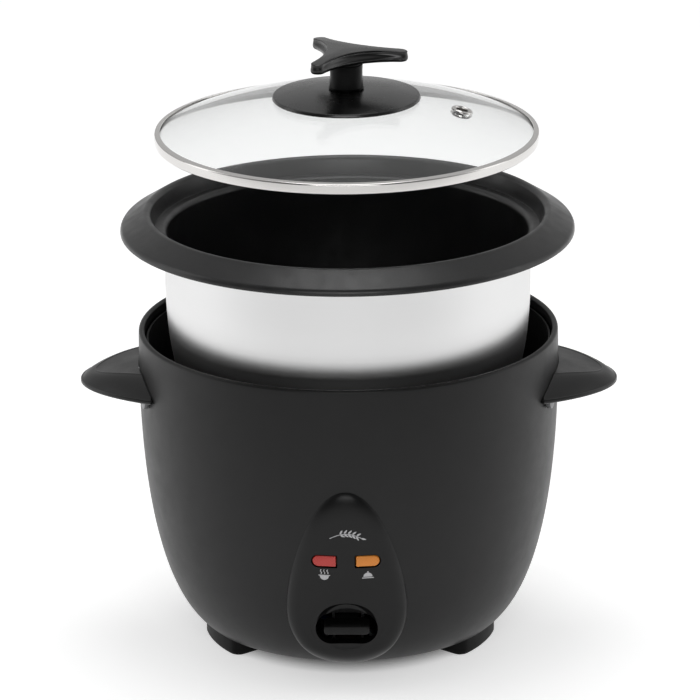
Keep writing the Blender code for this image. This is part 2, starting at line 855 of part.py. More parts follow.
def make_scoop(face):
    """The shallow dish round the lever's slot."""
    shape = bmesh.new()
    bmesh.ops.create_uvsphere(shape, u_segments=20, v_segments=10, radius=1.0)
    bmesh.ops.scale(shape, vec=SCOOP_SIZE, verts=shape.verts)
    mesh = bpy.data.meshes.new("panel_scoop")
    shape.to_mesh(mesh)
    shape.free()
    scoop = place("panel_scoop", mesh, "black_plastic")
    scoop.location = (0, face, SCOOP_CENTRE_Z)
    scoop.rotation_euler = (-math.atan(0.118), 0, 0)
    return scoop


def make_lamps():
    """Two lenses set just behind the panel's face, a neon tube behind each, and the board they share."""
    front = panel_front(WINDOW_Z) + 0.5 * MM
    back = front + LENS_DEPTH
    for side, name in ((-1, "cook"), (1, "warm")):
        colour = "red_lens" if name == "cook" else "amber_lens"
        lens = slab(name + "_lens", window_outline(side, GAP + 0.1 * MM), LENS_DEPTH, colour)
        upright(lens, (front + back) / 2)
        middle = side * WINDOW_CENTRE_X
        y = back + LAMP_RADIUS + GAP
        ends = [(middle + end * 6 * MM, y, WINDOW_Z) for end in (-1, 1)]
        rod(name + "_lamp", LAMP_RADIUS, *ends, "glass", 12)
    board = back + 2 * LAMP_RADIUS + 2 * GAP
    low = (-19 * MM, board, WINDOW_Z - 5 * MM)
    block("lamp_board", low, (19 * MM, board + 1 * MM, WINDOW_Z + 5 * MM), "brown_board")


# ---------------------------------------------------------------- handles


def handle_screw_places():
    """(name, depth, side) of each screw that holds a handle."""
    return [
        (f"handle_screw_{side_name}_{end}", y, side)
        for side_name, side in (("left", -1), ("right", 1))
        for end, y in (("front", -HANDLE_SCREW_Y), ("back", HANDLE_SCREW_Y))
    ]


def handle_ring(side, reach, half_width, base_z, droop, power=1.0):
    """A pointed oval in plan round the handle's root, which droops towards the tip."""
    ring = []
    for i in range(HANDLE_POINTS):
        angle = 2 * math.pi * i / HANDLE_POINTS
        share, across = math.cos(angle), math.sin(angle)
        along = math.copysign(abs(share) ** HANDLE_TAPER, share)
        z = base_z - droop * math.copysign(abs(along) ** power, along)
        ring.append((side * (HANDLE_ROOT_X + reach * along), half_width * across, z))
    return ring


def handle_body(name, side, inset, under):
    """The handle's outside or, drawn in by its wall and open downwards, the hollow inside it."""
    reach, width = HANDLE_REACH - inset, HANDLE_HALF_WIDTH - inset
    crease_reach, crease_width = CREASE_REACH - inset / 2, CREASE_HALF_WIDTH - inset / 2
    edge_top = HANDLE_EDGE_Z + HANDLE_EDGE_HEIGHT - inset
    rings = [
        handle_ring(side, reach, width, HANDLE_EDGE_Z - under, HANDLE_EDGE_DROOP),
        handle_ring(side, reach, width, edge_top, HANDLE_EDGE_DROOP),
        handle_ring(side, crease_reach, crease_width, CREASE_Z - inset, CREASE_DROOP, 2.0),
        handle_ring(side, 12 * MM, 10 * MM, CREASE_Z + 0.7 * MM - inset, 0.8 * MM),
    ]
    return loft(name, rings, "black_plastic")


def make_handle(side_name, side, envelope):
    handle = handle_body("handle_" + side_name, side, 0, 0)
    hollow = handle_body("handle_hollow_" + side_name, side, HANDLE_WALL, 10 * MM)
    cut(handle, as_tool(hollow))
    for name, y, screw_side in handle_screw_places():
        if screw_side != side:
            continue
        ends = [(side * x * MM, y, HANDLE_SCREW_Z) for x in (106, 120)]
        join(handle, as_tool(rod(name + "_boss", 3.2 * MM, *ends, "black_plastic", 12)))
        ends = [(side * x * MM, y, HANDLE_SCREW_Z) for x in (100, 119)]
        cut(handle, as_tool(rod(name + "_bore", 2.0 * MM, *ends, "black_plastic", 12)))
        make_handle_screw(name, y, side)
    cut(handle, envelope)
    make_handle_bracket(side_name, side)


def make_handle_screw(name, y, side):
    """A screw whose head is inside the housing wall."""
    wall_x = math.sqrt((111.6 * MM) ** 2 - y * y)
    outline = [
        (0, 7.6 * MM),
        (1.7 * MM, 7.0 * MM),
        (1.7 * MM, 0),
        (3.6 * MM, 0),
        (3.6 * MM, -1.4 * MM),
        (0, -1.8 * MM),
    ]
    screw = turned(name, outline, "zinc_steel", 8)
    screw.rotation_euler = (0, side * math.radians(90), 0)
    screw.location = (side * (wall_x - 1.15 * MM), y, HANDLE_SCREW_Z)


def make_handle_bracket(side_name, side):
    """A steel strip bent round the housing just under the handle."""
    inner, outer = 113.6 * MM, 116.0 * MM
    spread = 21.0
    outline = arc((0, 0), outer, -spread, spread, 6) + arc((0, 0), inner, spread, -spread, 6)
    low, high = 138.9 * MM, 141.3 * MM
    strip = slab("handle_bracket_" + side_name, outline, high - low, "zinc_steel")
    strip.location = (0, 0, (low + high) / 2)
    if side < 0:
        strip.rotation_euler = (0, 0, math.pi)


# ---------------------------------------------------------------- power inlet and wiring


def make_inlet():
    half_width, half_height = INLET_WIDTH / 2, INLET_HEIGHT / 2
    low, high = INLET_Z - half_height, INLET_Z + half_height
    corners = [(-half_width, low), (half_width, low), (half_width, high), (-half_width, high)]
    depth = INLET_BACK_Y - INLET_FRONT_Y
    inlet = slab("power_inlet", rounded(corners, 2 * MM, 3), depth, "black_plastic")
    upright(inlet, (INLET_FRONT_Y + INLET_BACK_Y) / 2)
    wall = 2.5 * MM
    inside = [
        (-half_width + wall, low + wall),
        (half_width - wall, low + wall),
        (half_width - wall, high - wall),
        (-half_width + wall, high - wall),
    ]
    recess_depth = 17.0 * MM
    recess = slab("inlet_recess", rounded(inside, 2.5 * MM, 3), 2 * recess_depth, "black_plastic")
    cut(inlet, as_tool(upright(recess, INLET_BACK_Y)))
    for name, x, z in (("live", 7.0 * MM, 1.5 * MM), ("neutral", -7.0 * MM, 1.5 * MM), ("earth", 0.0, -2.5 * MM)):
        low_corner = Vector((x - 0.8 * MM, INLET_FRONT_Y - 6 * MM, INLET_Z + z - 2.5 * MM))
        high_corner = Vector((x + 0.8 * MM, INLET_BACK_Y - 4 * MM, INLET_Z + z + 2.5 * MM))
        clearance = Vector((GAP, GAP, GAP))
        hole = block(name + "_pin_hole", low_corner - clearance, high_corner + clearance, "brass")
        cut(inlet, as_tool(hole))
        block(f"inlet_pin_{name}", low_corner, high_corner, "brass")


def smooth_route(stops, per_span=3):
    """A Catmull-Rom curve through the stops."""
    ends = [stops[0], *stops, stops[-1]]
    points = []
    for a, b, c, d in zip(ends, ends[1:], ends[2:], ends[3:]):
        a, b, c, d = Vector(a), Vector(b), Vector(c), Vector(d)
        for i in range(per_span):
            t = i / per_span
            points.append(
                (b * 2 + (c - a) * t + (a * 2 - b * 5 + c * 4 - d) * t**2 + (b * 3 - a - c * 3 + d) * t**3)
                / 2
            )
    return points + [Vector(stops[-1])]


def make_electrics():
    rod("thermal_fuse", 2.4 * MM, (26 * MM, 30 * MM, 44 * MM), (42 * MM, 18 * MM, 44 * MM), "steel", 14)
    block(
        "keep_warm_resistor",
        (-52 * MM, -6 * MM, 39 * MM),
        (-30 * MM, 2 * MM, 47 * MM),
        "ceramic",
    )
    live = [
        (7 * MM, 69.4 * MM, 35.5 * MM),
        (8 * MM, 60 * MM, 36 * MM),
        (16 * MM, 48 * MM, 40 * MM),
        (21 * MM, 38 * MM, 43 * MM),
        (24.6 * MM, 31.8 * MM, 44 * MM),
    ]
    neutral = [
        (-7 * MM, 69.4 * MM, 35.5 * MM),
        (-9 * MM, 58 * MM, 34 * MM),
        (-22 * MM, 40 * MM, 24 * MM),
        (-26 * MM, 5 * MM, 18 * MM),
        (-20 * MM, -26 * MM, 16 * MM),
        (-7.8 * MM, -37 * MM, 16 * MM),
    ]
    tube("wire_live", smooth_route(live), 1.2 * MM, "brown_wire", 0)
    tube("wire_neutral", smooth_route(neutral), 1.2 * MM, "blue_wire", 0)


# ---------------------------------------------------------------- inner pot


def make_pot():
    bottom = -POT_DEPTH
    dimple = bottom + 0.8 * MM
    wall = bezier(
        [
            (POT_FLAT_RADIUS, bottom),
            (93.0 * MM, bottom),
            (POT_WALL_RADIUS, -60.0 * MM),
            (POT_WALL_RADIUS, -25.0 * MM),
        ],
        5,
    )
    ledge = SEAT_HEIGHT - POT_SHEET
    path = [
        (0, dimple),
        (19 * MM, dimple),
        (21 * MM, bottom),
        *wall,
        *arc((POT_WALL_RADIUS + 1.4 * MM, ledge - 1.4 * MM), 1.4 * MM, 180, 90, 1),
        *arc((103.6 * MM, ledge + 1.2 * MM), 1.2 * MM, -90, 0, 1),
        *arc((107.9 * MM, 8.1 * MM), 1.2 * MM, 170, 55, 3),
        *arc((118.2 * MM, 0.8 * MM), 2.0 * MM, 55, 0, 1),
        (POT_LIP_RADIUS, 0),
    ]
    pot = turned("inner_pot", thickened(path, POT_SHEET), "pot_metal")
    pot.location = (0, 0, POT_LIP)


# ---------------------------------------------------------------- lid


def glass_height(radius):
    """Height of the glass's upper face at a distance from the axis."""
    return GLASS_TOP - GLASS_SPHERE + math.sqrt(GLASS_SPHERE**2 - radius**2)


def make_lid():
    hole = 4.4 * MM
    count = 5
    radii = [hole + (GLASS_RADIUS - hole) * i / count for i in range(count + 1)]
    upper = [(radius, glass_height(radius)) for radius in radii]
    lower = [(radius, glass_height(radius) - GLASS_SHEET) for radius in radii]
    glass = turned("lid_glass", upper[::-1] + lower, "glass")
    slope = math.asin(math.hypot(*VENT_PLACE) / GLASS_SPHERE)
    heading = math.atan2(VENT_PLACE[1], VENT_PLACE[0])
    tilt = Matrix.Rotation(heading, 4, "Z") @ Matrix.Rotation(slope, 4, "Y")
    place_z = glass_height(math.hypot(*VENT_PLACE))
    seat = Matrix.Translation((*VENT_PLACE, place_z)) @ tilt
    drill = rod("vent_drill", 4.7 * MM, (0, 0, -12 * MM), (0, 0, 12 * MM), "glass")
    drill.matrix_world = seat
    cut(glass, as_tool(drill))
    below = -GLASS_SHEET
    eyelet = [
        (VENT_HOLE_RADIUS, 1.2 * MM),
        (5.2 * MM, 1.2 * MM),
        (5.9 * MM, GAP),
        (4.3 * MM, GAP),
        (4.3 * MM, below - GAP),
        (5.9 * MM, below - GAP),
        (5.2 * MM, below - 1.0 * MM),
        (VENT_HOLE_RADIUS, below - 1.0 * MM),
    ]
    turned("vent_eyelet", eyelet, "steel", SMALL_TURN_STEPS).matrix_world = seat
    top = LID_BOTTOM + BAND_HEIGHT
    band = [
        (99.4 * MM, LID_BOTTOM),
        *arc((BAND_RADIUS - 1 * MM, LID_BOTTOM + 1 * MM), 1 * MM, -90, 0, 1),
        *arc((BAND_RADIUS - 1 * MM, top - 1.2 * MM), 1 * MM, 0, 70, 1),
        (99.0 * MM, glass_height(99.0 * MM) + BAND_SHEET + 0.35 * MM),
    ]
    turned("lid_rim", thickened(band, BAND_SHEET), "steel")
    make_knob()


def star_outline(tip_distance, tip_radius, waist):
    """A three-armed star: each tip is a circle, and a hollow arc that touches both its tips joins two arms."""
    third = 2 * math.pi / 3
    gap = tip_radius - waist
    centre = (tip_distance**2 - gap**2) / (tip_distance + 2 * gap)
    hollow = centre - waist
    middle = Vector((centre * math.cos(third / 2), centre * math.sin(third / 2)))
    meeting = math.degrees(math.atan2(middle.y, middle.x - tip_distance))
    touch = math.degrees(math.atan2(-middle.y, tip_distance - middle.x))
    arm = arc((tip_distance, 0), tip_radius, -meeting, meeting, 4)
    valley = arc(middle, hollow, 360 + touch, 120 - touch, 5)[1:-1]
    outline = []
    for i in range(3):
        turn = Matrix.Rotation(i * third, 2)
        outline += [tuple(turn @ Vector(point)) for point in arm + valley]
    return outline


def star_ring(z, droop, tip_distance, tip_radius, waist, scale=1.0):
    """A ring of the star: it sinks towards its tips by droop."""
    ring = []
    for x, y in star_outline(tip_distance, tip_radius, waist):
        x, y = scale * x, scale * y
        ring.append((x, y, z - droop * (x * x + y * y) / STAR_REACH**2))
    return ring


def make_knob():
    base = GLASS_TOP
    disc = [
        (4.6 * MM, base + 1.1 * MM),
        (36.0 * MM, base - 1.2 * MM),
        (38.6 * MM, base - 2.5 * MM),
        (39.6 * MM, base - 2.3 * MM),
        (KNOB_DISC_RADIUS, base - 1.3 * MM),
        (39.0 * MM, base - 0.6 * MM),
        *bezier(
            [
                (38.0 * MM, base - 0.4 * MM),
                (28.0 * MM, base + 1.6 * MM),
                (18.0 * MM, base + 2.8 * MM),
                (11.0 * MM, base + 3.0 * MM),
            ],
            3,
        ),
        (4.6 * MM, base + 3.0 * MM),
    ]
    turned("knob_disc", disc, "black_plastic", 32)
    stem_bottom = base + 3.3 * MM
    star_bottom = STAR_TOP - 7.4 * MM
    stem = [
        (3.8 * MM, stem_bottom),
        (STEM_RADIUS, stem_bottom),
        *bezier(
            [
                (STEM_RADIUS, stem_bottom + 0.6 * MM),
                (8.7 * MM, stem_bottom + 4 * MM),
                (8.6 * MM, stem_bottom + 9 * MM),
                (8.9 * MM, star_bottom - 1.6 * MM),
            ],
            4,
        ),
        (8.2 * MM, star_bottom - 1.6 * MM),
        (8.2 * MM, star_bottom + 1.5 * MM),
        (3.8 * MM, star_bottom + 1.5 * MM),
    ]
    core_bottom = base + 12 * MM
    core_ends = [(0, 0, core_bottom), (0, 0, star_bottom + 1 * MM)]
    core = rod("stem_core", 4.6 * MM, *core_ends, "black_plastic", 16)
    rings = [
        star_ring(star_bottom, 0, 28.2 * MM, 2.8 * MM, 10.2 * MM),
        star_ring(star_bottom + 1.2 * MM, 0, 29.2 * MM, 3.8 * MM, 11.8 * MM),
        star_ring(STAR_TOP - 2.2 * MM, 1.6 * MM, 29.4 * MM, 3.6 * MM, 10.6 * MM),
        star_ring(STAR_TOP - 0.7 * MM, 1.8 * MM, 29.2 * MM, 2.6 * MM, 8.8 * MM),
        star_ring(STAR_TOP, 0.6 * MM, 29.2 * MM, 2.6 * MM, 8.8 * MM, 0.35),
    ]
    knob = loft("knob_handle", rings, "black_plastic")
    join(knob, as_tool(turned("knob_stem", stem, "black_plastic", 20)), as_tool(core))
    under = base - GLASS_SHEET
    screw = [
        (0, base + 10.6 * MM),
        (3.2 * MM, base + 10.0 * MM),
        (3.2 * MM, under - 1.9 * MM),
        (7.0 * MM, under - 1.9 * MM),
        (7.0 * MM, under - 3.4 * MM),
        (5.0 * MM, under - 4.6 * MM),
        (0, under - 4.6 * MM),
    ]
    turned("knob_screw", screw, "steel", SMALL_TURN_STEPS)
    seal = [
        (4.0 * MM, under - GAP),
        (12.0 * MM, under - 0.65 * MM),
        (12.0 * MM, under - 1.6 * MM),
        (4.0 * MM, under - 1.6 * MM),
    ]
    turned("knob_seal", seal, "silicone", 20)


# ---------------------------------------------------------------- the whole cooker


def main():
    envelope = make_envelope()
    make_housing()
    make_liner()
    make_base()
    for name, angle in FEET.items():
        make_foot(name, angle)
    make_heater()
    make_thermostat()
    make_lever()
    make_switch()
    make_panel(envelope)
    make_lamps()
    make_handle("left", -1, envelope)
    make_handle("right", 1, envelope)
    make_inlet()
    make_electrics()
    make_pot()
    make_lid()


clear_scene()
COOKER = collection_named("rice_cooker")
TOOLS = collection_named("cutters")
main()
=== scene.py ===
"""Looks for a drum-shaped rice cooker shown with its pot and its glass lid lifted clear of each other.

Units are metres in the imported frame's axes. Heights and widths are anchored to the CAD boxes, and the
outlines of the turned and skinned pieces are the object's own, so each fine piece fills its CAD node.
"""

import json
import math

import bmesh
import bpy
from mathutils import Matrix, Vector


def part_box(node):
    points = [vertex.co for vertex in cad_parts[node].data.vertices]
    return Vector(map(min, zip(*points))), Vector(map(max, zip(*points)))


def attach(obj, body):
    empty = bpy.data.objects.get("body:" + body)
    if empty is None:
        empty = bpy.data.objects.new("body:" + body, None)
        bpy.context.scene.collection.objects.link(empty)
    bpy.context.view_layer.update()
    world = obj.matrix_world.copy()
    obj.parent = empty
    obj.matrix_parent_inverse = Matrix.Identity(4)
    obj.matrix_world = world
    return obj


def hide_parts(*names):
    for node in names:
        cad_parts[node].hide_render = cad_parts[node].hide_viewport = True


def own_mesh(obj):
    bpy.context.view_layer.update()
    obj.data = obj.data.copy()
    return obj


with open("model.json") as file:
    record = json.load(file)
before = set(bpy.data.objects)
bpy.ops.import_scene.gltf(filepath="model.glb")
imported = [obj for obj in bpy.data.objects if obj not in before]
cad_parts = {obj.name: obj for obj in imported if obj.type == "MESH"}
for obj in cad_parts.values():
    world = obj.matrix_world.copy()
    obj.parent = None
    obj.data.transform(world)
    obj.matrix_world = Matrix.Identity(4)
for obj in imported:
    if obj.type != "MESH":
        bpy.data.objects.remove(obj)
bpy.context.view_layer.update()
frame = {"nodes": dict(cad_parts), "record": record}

MM = 0.001
GAP = 0.3 * MM
TURN_STEPS = 192
SMALL_STEPS = 48
CREASE_ANGLE = math.radians(32)
# A face with this many corners or more is a flat end cap, and is shaded flat.
CAP_CORNERS = 9

# ---- sizes, anchored to the CAD boxes

HOUSING_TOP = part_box("outer_housing")[1].z
HOUSING_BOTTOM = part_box("outer_housing")[0].z
HOUSING_WALL = 1.5 * MM
HOUSING_CURVE = [
    (113.0 * MM, HOUSING_TOP - 1.6 * MM),
    (114.6 * MM, 99.0 * MM),
    (106.4 * MM, 29.0 * MM),
    (80.5 * MM, HOUSING_BOTTOM),
]
ROLL_RADIUS = 1.6 * MM
LINER_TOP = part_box("inner_liner")[1].z
LINER_TOP_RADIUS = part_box("inner_liner")[1].x
LINER_LOW_RADIUS = LINER_TOP_RADIUS - 6.8 * MM
LINER_SHEET = 1.0 * MM
DECK_TOP = 51.0 * MM
BASE_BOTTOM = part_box("base_plate")[0].z
BASE_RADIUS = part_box("base_plate")[1].x
BASE_VENTS = 12
BASE_VENT_RING = 40 * MM

POT_SHEET = 1.6 * MM
POT_DEPTH = 100.5 * MM
POT_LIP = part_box("inner_pot")[0].z + POT_DEPTH
POT_WALL_RADIUS = 98.2 * MM
POT_FLAT_RADIUS = 72.0 * MM
POT_LIP_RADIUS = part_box("inner_pot")[1].x - POT_SHEET
SEAT_HEIGHT = 1.4 * MM

LID_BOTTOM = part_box("lid_rim")[0].z
BAND_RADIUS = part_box("lid_rim")[1].x
BAND_HEIGHT = 5.9 * MM
BAND_SHEET = 0.5 * MM
GLASS_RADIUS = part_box("lid_glass")[1].x
GLASS_SPHERE = 254.0 * MM
GLASS_TOP = LID_BOTTOM + 25.6 * MM
GLASS_SHEET = 3.5 * MM
VENT_PLACE = (61.4 * MM, -7.8 * MM)
VENT_HOLE = 3.2 * MM
STAR_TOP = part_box("knob_handle")[1].z
STAR_REACH = 33.0 * MM
STAR_HEIGHT = 7.4 * MM
STEM_RADIUS = 9.5 * MM

PANEL_MIDDLE_Z = 48.0 * MM
PANEL_HALF_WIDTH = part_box("control_panel")[1].x
PANEL_RISE = 68.0 * MM
PANEL_DROP = 35.0 * MM
PANEL_BACK_Y = -80.0 * MM
PANEL_WALL = 2.4 * MM
PANEL_LEAN = 0.118
PANEL_BEND = 72.0 * MM
PANEL_FRONT = 105.5 * MM
PANEL_TOP_POWER = 1.62
PANEL_FOOT_POWER = 2.2
BEVEL_WIDTH = 6.5 * MM
BEVEL_WIDER_TOP = 8.5 * MM
BEVEL_WIDER_FOOT = 1.5 * MM
BEVEL_DROP = 3.4 * MM
BEVEL_DEEPER_TOP = 1.8 * MM
BEVEL_DEEPER_FOOT = 2.4 * MM
WINDOW_X = 11.5 * MM
WINDOW_Z = 77.0 * MM
WINDOW_LENGTH = 13.9 * MM
WINDOW_HEIGHT = 7.4 * MM
SLOT_LENGTH = 33.0 * MM
SLOT_BOTTOM = 28.6 * MM
SLOT_TOP = 45.6 * MM
SCOOP_Z = 38.8 * MM
SCOOP_SIZE = (17.0 * MM, 5.0 * MM, 13.9 * MM)

HANDLE_ROOT_X = 105.0 * MM
HANDLE_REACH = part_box("handle_right")[1].x - HANDLE_ROOT_X
HANDLE_HALF_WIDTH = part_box("handle_right")[1].y
HANDLE_EDGE_Z = 141.8 * MM
HANDLE_EDGE_HEIGHT = 2.3 * MM
HANDLE_EDGE_DROOP = 1.2 * MM
CREASE_REACH = 32.0 * MM
CREASE_HALF_WIDTH = 27.0 * MM
CREASE_Z = 152.2 * MM
CREASE_DROOP = 5.2 * MM
HANDLE_TAPER = 1.9
HANDLE_WALL = 2.3 * MM
HANDLE_STEPS = 96

SPRING_WIRE = 0.48 * MM

# Each foot's angle from the front towards +X, in degrees.
FEET = {
    "foot_front_right": 67.0,
    "foot_back_right": 130.0,
    "foot_back_left": -130.0,
    "foot_front_left": -67.0,
}
FOOT_OUTER = 79.5 * MM
FOOT_INNER = 60.0 * MM
FOOT_HALF_ANGLE = math.radians(17.5)
FOOT_HEIGHT = 8.7 * MM
FOOT_SCREW_RADIUS = 68.0 * MM

FLOOR_HALF = 30.0
LIGHT_AIM = (0, 0, 0.16)
# Each soft box's place, its size and its power in watts.
SOFT_BOXES = {
    "top_box": ((0.0, 0.2, 2.2), (1.1, 1.1), 10.5),
    "front_box": ((0.0, -2.3, 1.2), (1.7, 0.8), 15.0),
    "left_box": ((-1.9, 0.2, 0.9), (0.8, 1.6), 4.5),
    "right_box": ((1.9, 0.2, 0.9), (0.8, 1.6), 4.0),
}

BODY_OF = {
    node: body
    for body, members in frame["record"]["behaviour"]["bodies"].items()
    for node in members
}
SLOT_OF = {row["node"]: row["material_slot"] for row in frame["record"]["subparts"]}


# ---- materials


class Look:
    """A material being built: its Principled shader, and short calls for the nodes that feed it."""

    def __init__(self, name, colour, roughness, metallic=0.0, **more):
        self.material = bpy.data.materials.new(name)
        self.material.use_nodes = True
        self.tree = self.material.node_tree
        self.shader = self.tree.nodes["Principled BSDF"]
        self.set("Base Color", (*colour, 1.0))
        self.set("Roughness", roughness)
        self.set("Metallic", metallic)
        for socket, value in more.items():
            self.set(socket.replace("_", " "), value)

    def set(self, socket, value):
        self.shader.inputs[socket].default_value = value

    def feed(self, socket, output):
        self.tree.links.new(output, self.shader.inputs[socket])

    def node(self, kind, inputs=None, **settings):
        made = self.tree.nodes.new(kind)
        for key, value in settings.items():
            setattr(made, key, value)
        for key, value in (inputs or {}).items():
            if isinstance(value, bpy.types.NodeSocket):
                self.tree.links.new(value, made.inputs[key])
            else:
                made.inputs[key].default_value = value
        return made

    def place(self):
        """The point in the piece's own space."""
        return self.node("ShaderNodeTexCoord").outputs["Object"]

    def axes(self):
        return self.node("ShaderNodeSeparateXYZ", {0: self.place()}).outputs

    def maths(self, operation, a, b=0.0):
        return self.node("ShaderNodeMath", {0: a, 1: b}, operation=operation).outputs[0]

    def reach_squared(self):
        """The square of the distance from the vertical axis."""
        x, y, _ = self.axes()
        return self.maths("ADD", self.maths("MULTIPLY", x, x), self.maths("MULTIPLY", y, y))

    def noise(self, scale, detail=2.0, roughness=0.5, vector=None):
        inputs = {"Scale": scale, "Detail": detail, "Roughness": roughness}
        inputs["Vector"] = vector or self.place()
        return self.node("ShaderNodeTexNoise", inputs).outputs[0]

    def fit(self, value, low, high, start=0.3, end=0.7):
        inputs = {0: value, 1: start, 2: end, 3: low, 4: high}
        return self.node("ShaderNodeMapRange", inputs).outputs[0]

    def between(self, factor, first, second):
        ramp = self.node("ShaderNodeValToRGB", {0: factor})
        ramp.color_ramp.elements[0].color = (*first, 1.0)
        ramp.color_ramp.elements[1].color = (*second, 1.0)
        return ramp.outputs[0]

    def relief(self, height, depth, strength=1.0):
        inputs = {"Height": height, "Distance": depth, "Strength": strength}
        self.feed("Normal", self.node("ShaderNodeBump", inputs).outputs[0])
        return self


def shade(colour, factor):
    return tuple(channel * factor for channel in colour)


def grained(name, colour, roughness, grain, depth, change=0.06, specular=0.5, spread=0.12, metal=0.0):
    """A finish with fine grain in relief, a colour that wanders a little and uneven roughness."""
    look = Look(name, colour, roughness, metal, Specular_IOR_Level=specular)
    wander = look.fit(look.noise(28.0, 3.0), 0.0, 1.0)
    look.feed("Base Color", look.between(wander, shade(colour, 1 - spread), shade(colour, 1 + spread)))
    uneven = look.noise(90.0, 4.0, 0.6)
    look.feed("Roughness", look.fit(uneven, roughness - change, roughness + change))
    return look.relief(look.noise(grain, 2.0), depth)


def turned_lines(name, colour, roughness, lines, depth, low, high):
    """Metal with fine rings about the vertical axis, as a lathe or a brush leaves."""
    look = Look(name, colour, roughness, 1.0)
    radius = look.maths("SQRT", look.reach_squared())
    rings = look.node("ShaderNodeCombineXYZ", {0: radius, 1: look.axes()[2]}).outputs[0]
    rubbed = look.noise(lines, 4.0, 0.65, rings)
    look.feed("Roughness", look.fit(rubbed, low, high))
    return look.relief(rubbed, depth)


def speckled(name, colour, fleck, roughness, scale, depth):
    """A sprayed non-stick coat: fine light flecks in a dark film, with a soft pebbled relief."""
    look = Look(name, colour, roughness)
    flecks = look.fit(look.noise(scale, 3.0, 0.7), 0.0, 1.0, 0.46, 0.66)
    look.feed("Base Color", look.between(flecks, colour, fleck))
    look.feed("Roughness", look.fit(look.noise(120.0, 3.0), roughness - 0.05, roughness + 0.06))
    return look.relief(look.noise(scale * 0.7, 2.0), depth)


def lens_look(name, colour, deep):
    """Tinted clear plastic with a fine square grid of bumps moulded into its back."""
    look = Look(name, colour, 0.3, IOR=1.45)
    x, _, z = look.axes()
    pitch = math.pi / (0.85 * MM)
    across = look.maths("SINE", look.maths("MULTIPLY", x, pitch))
    up = look.maths("SINE", look.maths("MULTIPLY", z, pitch))
    grid = look.maths("MULTIPLY", across, up)
    look.feed("Base Color", look.between(look.fit(grid, 0.0, 1.0, -0.9, 0.9), deep, colour))
    return look.relief(grid, 0.06 * MM, 0.6)


# Each grained finish, by its slot: name, colour, roughness, grain and its depth in mm. Then, where they
# differ from grained's: the change in roughness, specular level, spread of colour, and metal.
GRAINED = {
    "black_coat": ("satin_black_paint", (0.0031, 0.0031, 0.0032), 0.42, 2600, 0.010, 0.03, 0.30),
    "liner_coat": ("dull_black_enamel", (0.006, 0.006, 0.006), 0.55, 1500, 0.015, 0.06, 0.2),
    "black_plastic": ("moulded_black_plastic", (0.0035, 0.0035, 0.0036), 0.33, 3200, 0.016, 0.05, 0.42),
    "zinc_steel": ("zinc_plate", (0.22, 0.22, 0.225), 0.42, 900, 0.01, 0.06, 0.5, 0.12, 1.0),
    "cast_aluminium": ("cast_aluminium", (0.56, 0.56, 0.57), 0.45, 1100, 0.03, 0.06, 0.5, 0.12, 1.0),
    "silicone": ("pale_silicone", (0.60, 0.58, 0.54), 0.55, 700, 0.01),
    "ferrite": ("fired_ferrite", (0.045, 0.045, 0.05), 0.5, 1300, 0.03),
    "brown_board": ("pressed_board", (0.15, 0.065, 0.028), 0.55, 800, 0.02, 0.06, 0.5, 0.2),
    "ceramic": ("glazed_ceramic", (0.78, 0.76, 0.70), 0.35, 500, 0.01, 0.06, 0.5, 0.05),
    "brown_wire": ("brown_sleeve", (0.14, 0.05, 0.02), 0.42, 900, 0.01),
    "blue_wire": ("blue_sleeve", (0.02, 0.09, 0.35), 0.42, 900, 0.01),
    "gloss_plastic": ("glossy_black_plastic", (0.0018, 0.0018, 0.0019), 0.26, 2600, 0.010, 0.04, 0.55),
    # Painted shade: the knob's stem is the same plastic as its star and skirt, made darker and less
    # specular for the shade of the dark skirt it reflects.
    "deep_plastic": ("deep_black_plastic", (0.0012, 0.0012, 0.0012), 0.16, 2600, 0.006, 0.03, 0.09),
    "panel_plastic": ("satin_panel_plastic", (0.0022, 0.0022, 0.0023), 0.34, 3000, 0.016, 0.05, 0.26),
    "tab_plastic": ("soft_black_plastic", (0.003, 0.003, 0.003), 0.52, 2600, 0.010, 0.05, 0.26),
    "foot_plastic": ("dull_black_plastic", (0.0012, 0.0012, 0.0012), 0.5, 1800, 0.02, 0.04, 0.12),
    "mark": ("pale_print", (0.42, 0.42, 0.43), 0.5, 1800, 0.004, 0.06, 0.5, 0.05),
}


def make_looks():
    looks = {
        "pot_metal": turned_lines(
            "satin_aluminium", (0.76, 0.76, 0.76), 0.36, 2600.0, 0.006 * MM, 0.32, 0.42
        ),
        "steel": turned_lines(
            "polished_steel_band", (0.68, 0.665, 0.65), 0.14, 3000.0, 0.002 * MM, 0.10, 0.18
        ),
        "brass": turned_lines("brass", (0.72, 0.53, 0.22), 0.3, 1500.0, 0.01 * MM, 0.2, 0.36),
        "red_lens": lens_look("red_lamp_lens", (0.60, 0.055, 0.045), (0.30, 0.020, 0.018)),
        "amber_lens": lens_look("amber_lamp_lens", (0.82, 0.31, 0.035), (0.48, 0.13, 0.018)),
        "nonstick": speckled(
            "nonstick_coat", (0.005, 0.005, 0.0052), (0.014, 0.014, 0.0145), 0.34, 2200.0, 0.009 * MM
        ),
    }
    for slot, (name, colour, roughness, grain, depth, *rest) in GRAINED.items():
        looks[slot] = grained(name, colour, roughness, grain, depth * MM, *rest)
    looks["silicone"].set("Subsurface Weight", 0.1)
    glass = Look("clear_glass", (0.93, 0.94, 0.937), 0.0, IOR=1.46, Transmission_Weight=1.0)
    smears = glass.noise(26.0, 3.0, 0.55)
    glass.feed("Roughness", glass.fit(smears, 0.0, 0.03, 0.45, 0.75))
    looks["glass"] = glass.relief(glass.noise(14.0, 1.0), 0.02 * MM, 0.25)
    return {slot: look.material for slot, look in looks.items()}


LOOKS = make_looks()


# ---- outlines


def angles(count):
    """That many angles, evenly spread over a turn."""
    return [2 * math.pi * i / count for i in range(count)]


def circle(radius, z, count):
    return [(radius * math.cos(angle), radius * math.sin(angle), z) for angle in angles(count)]


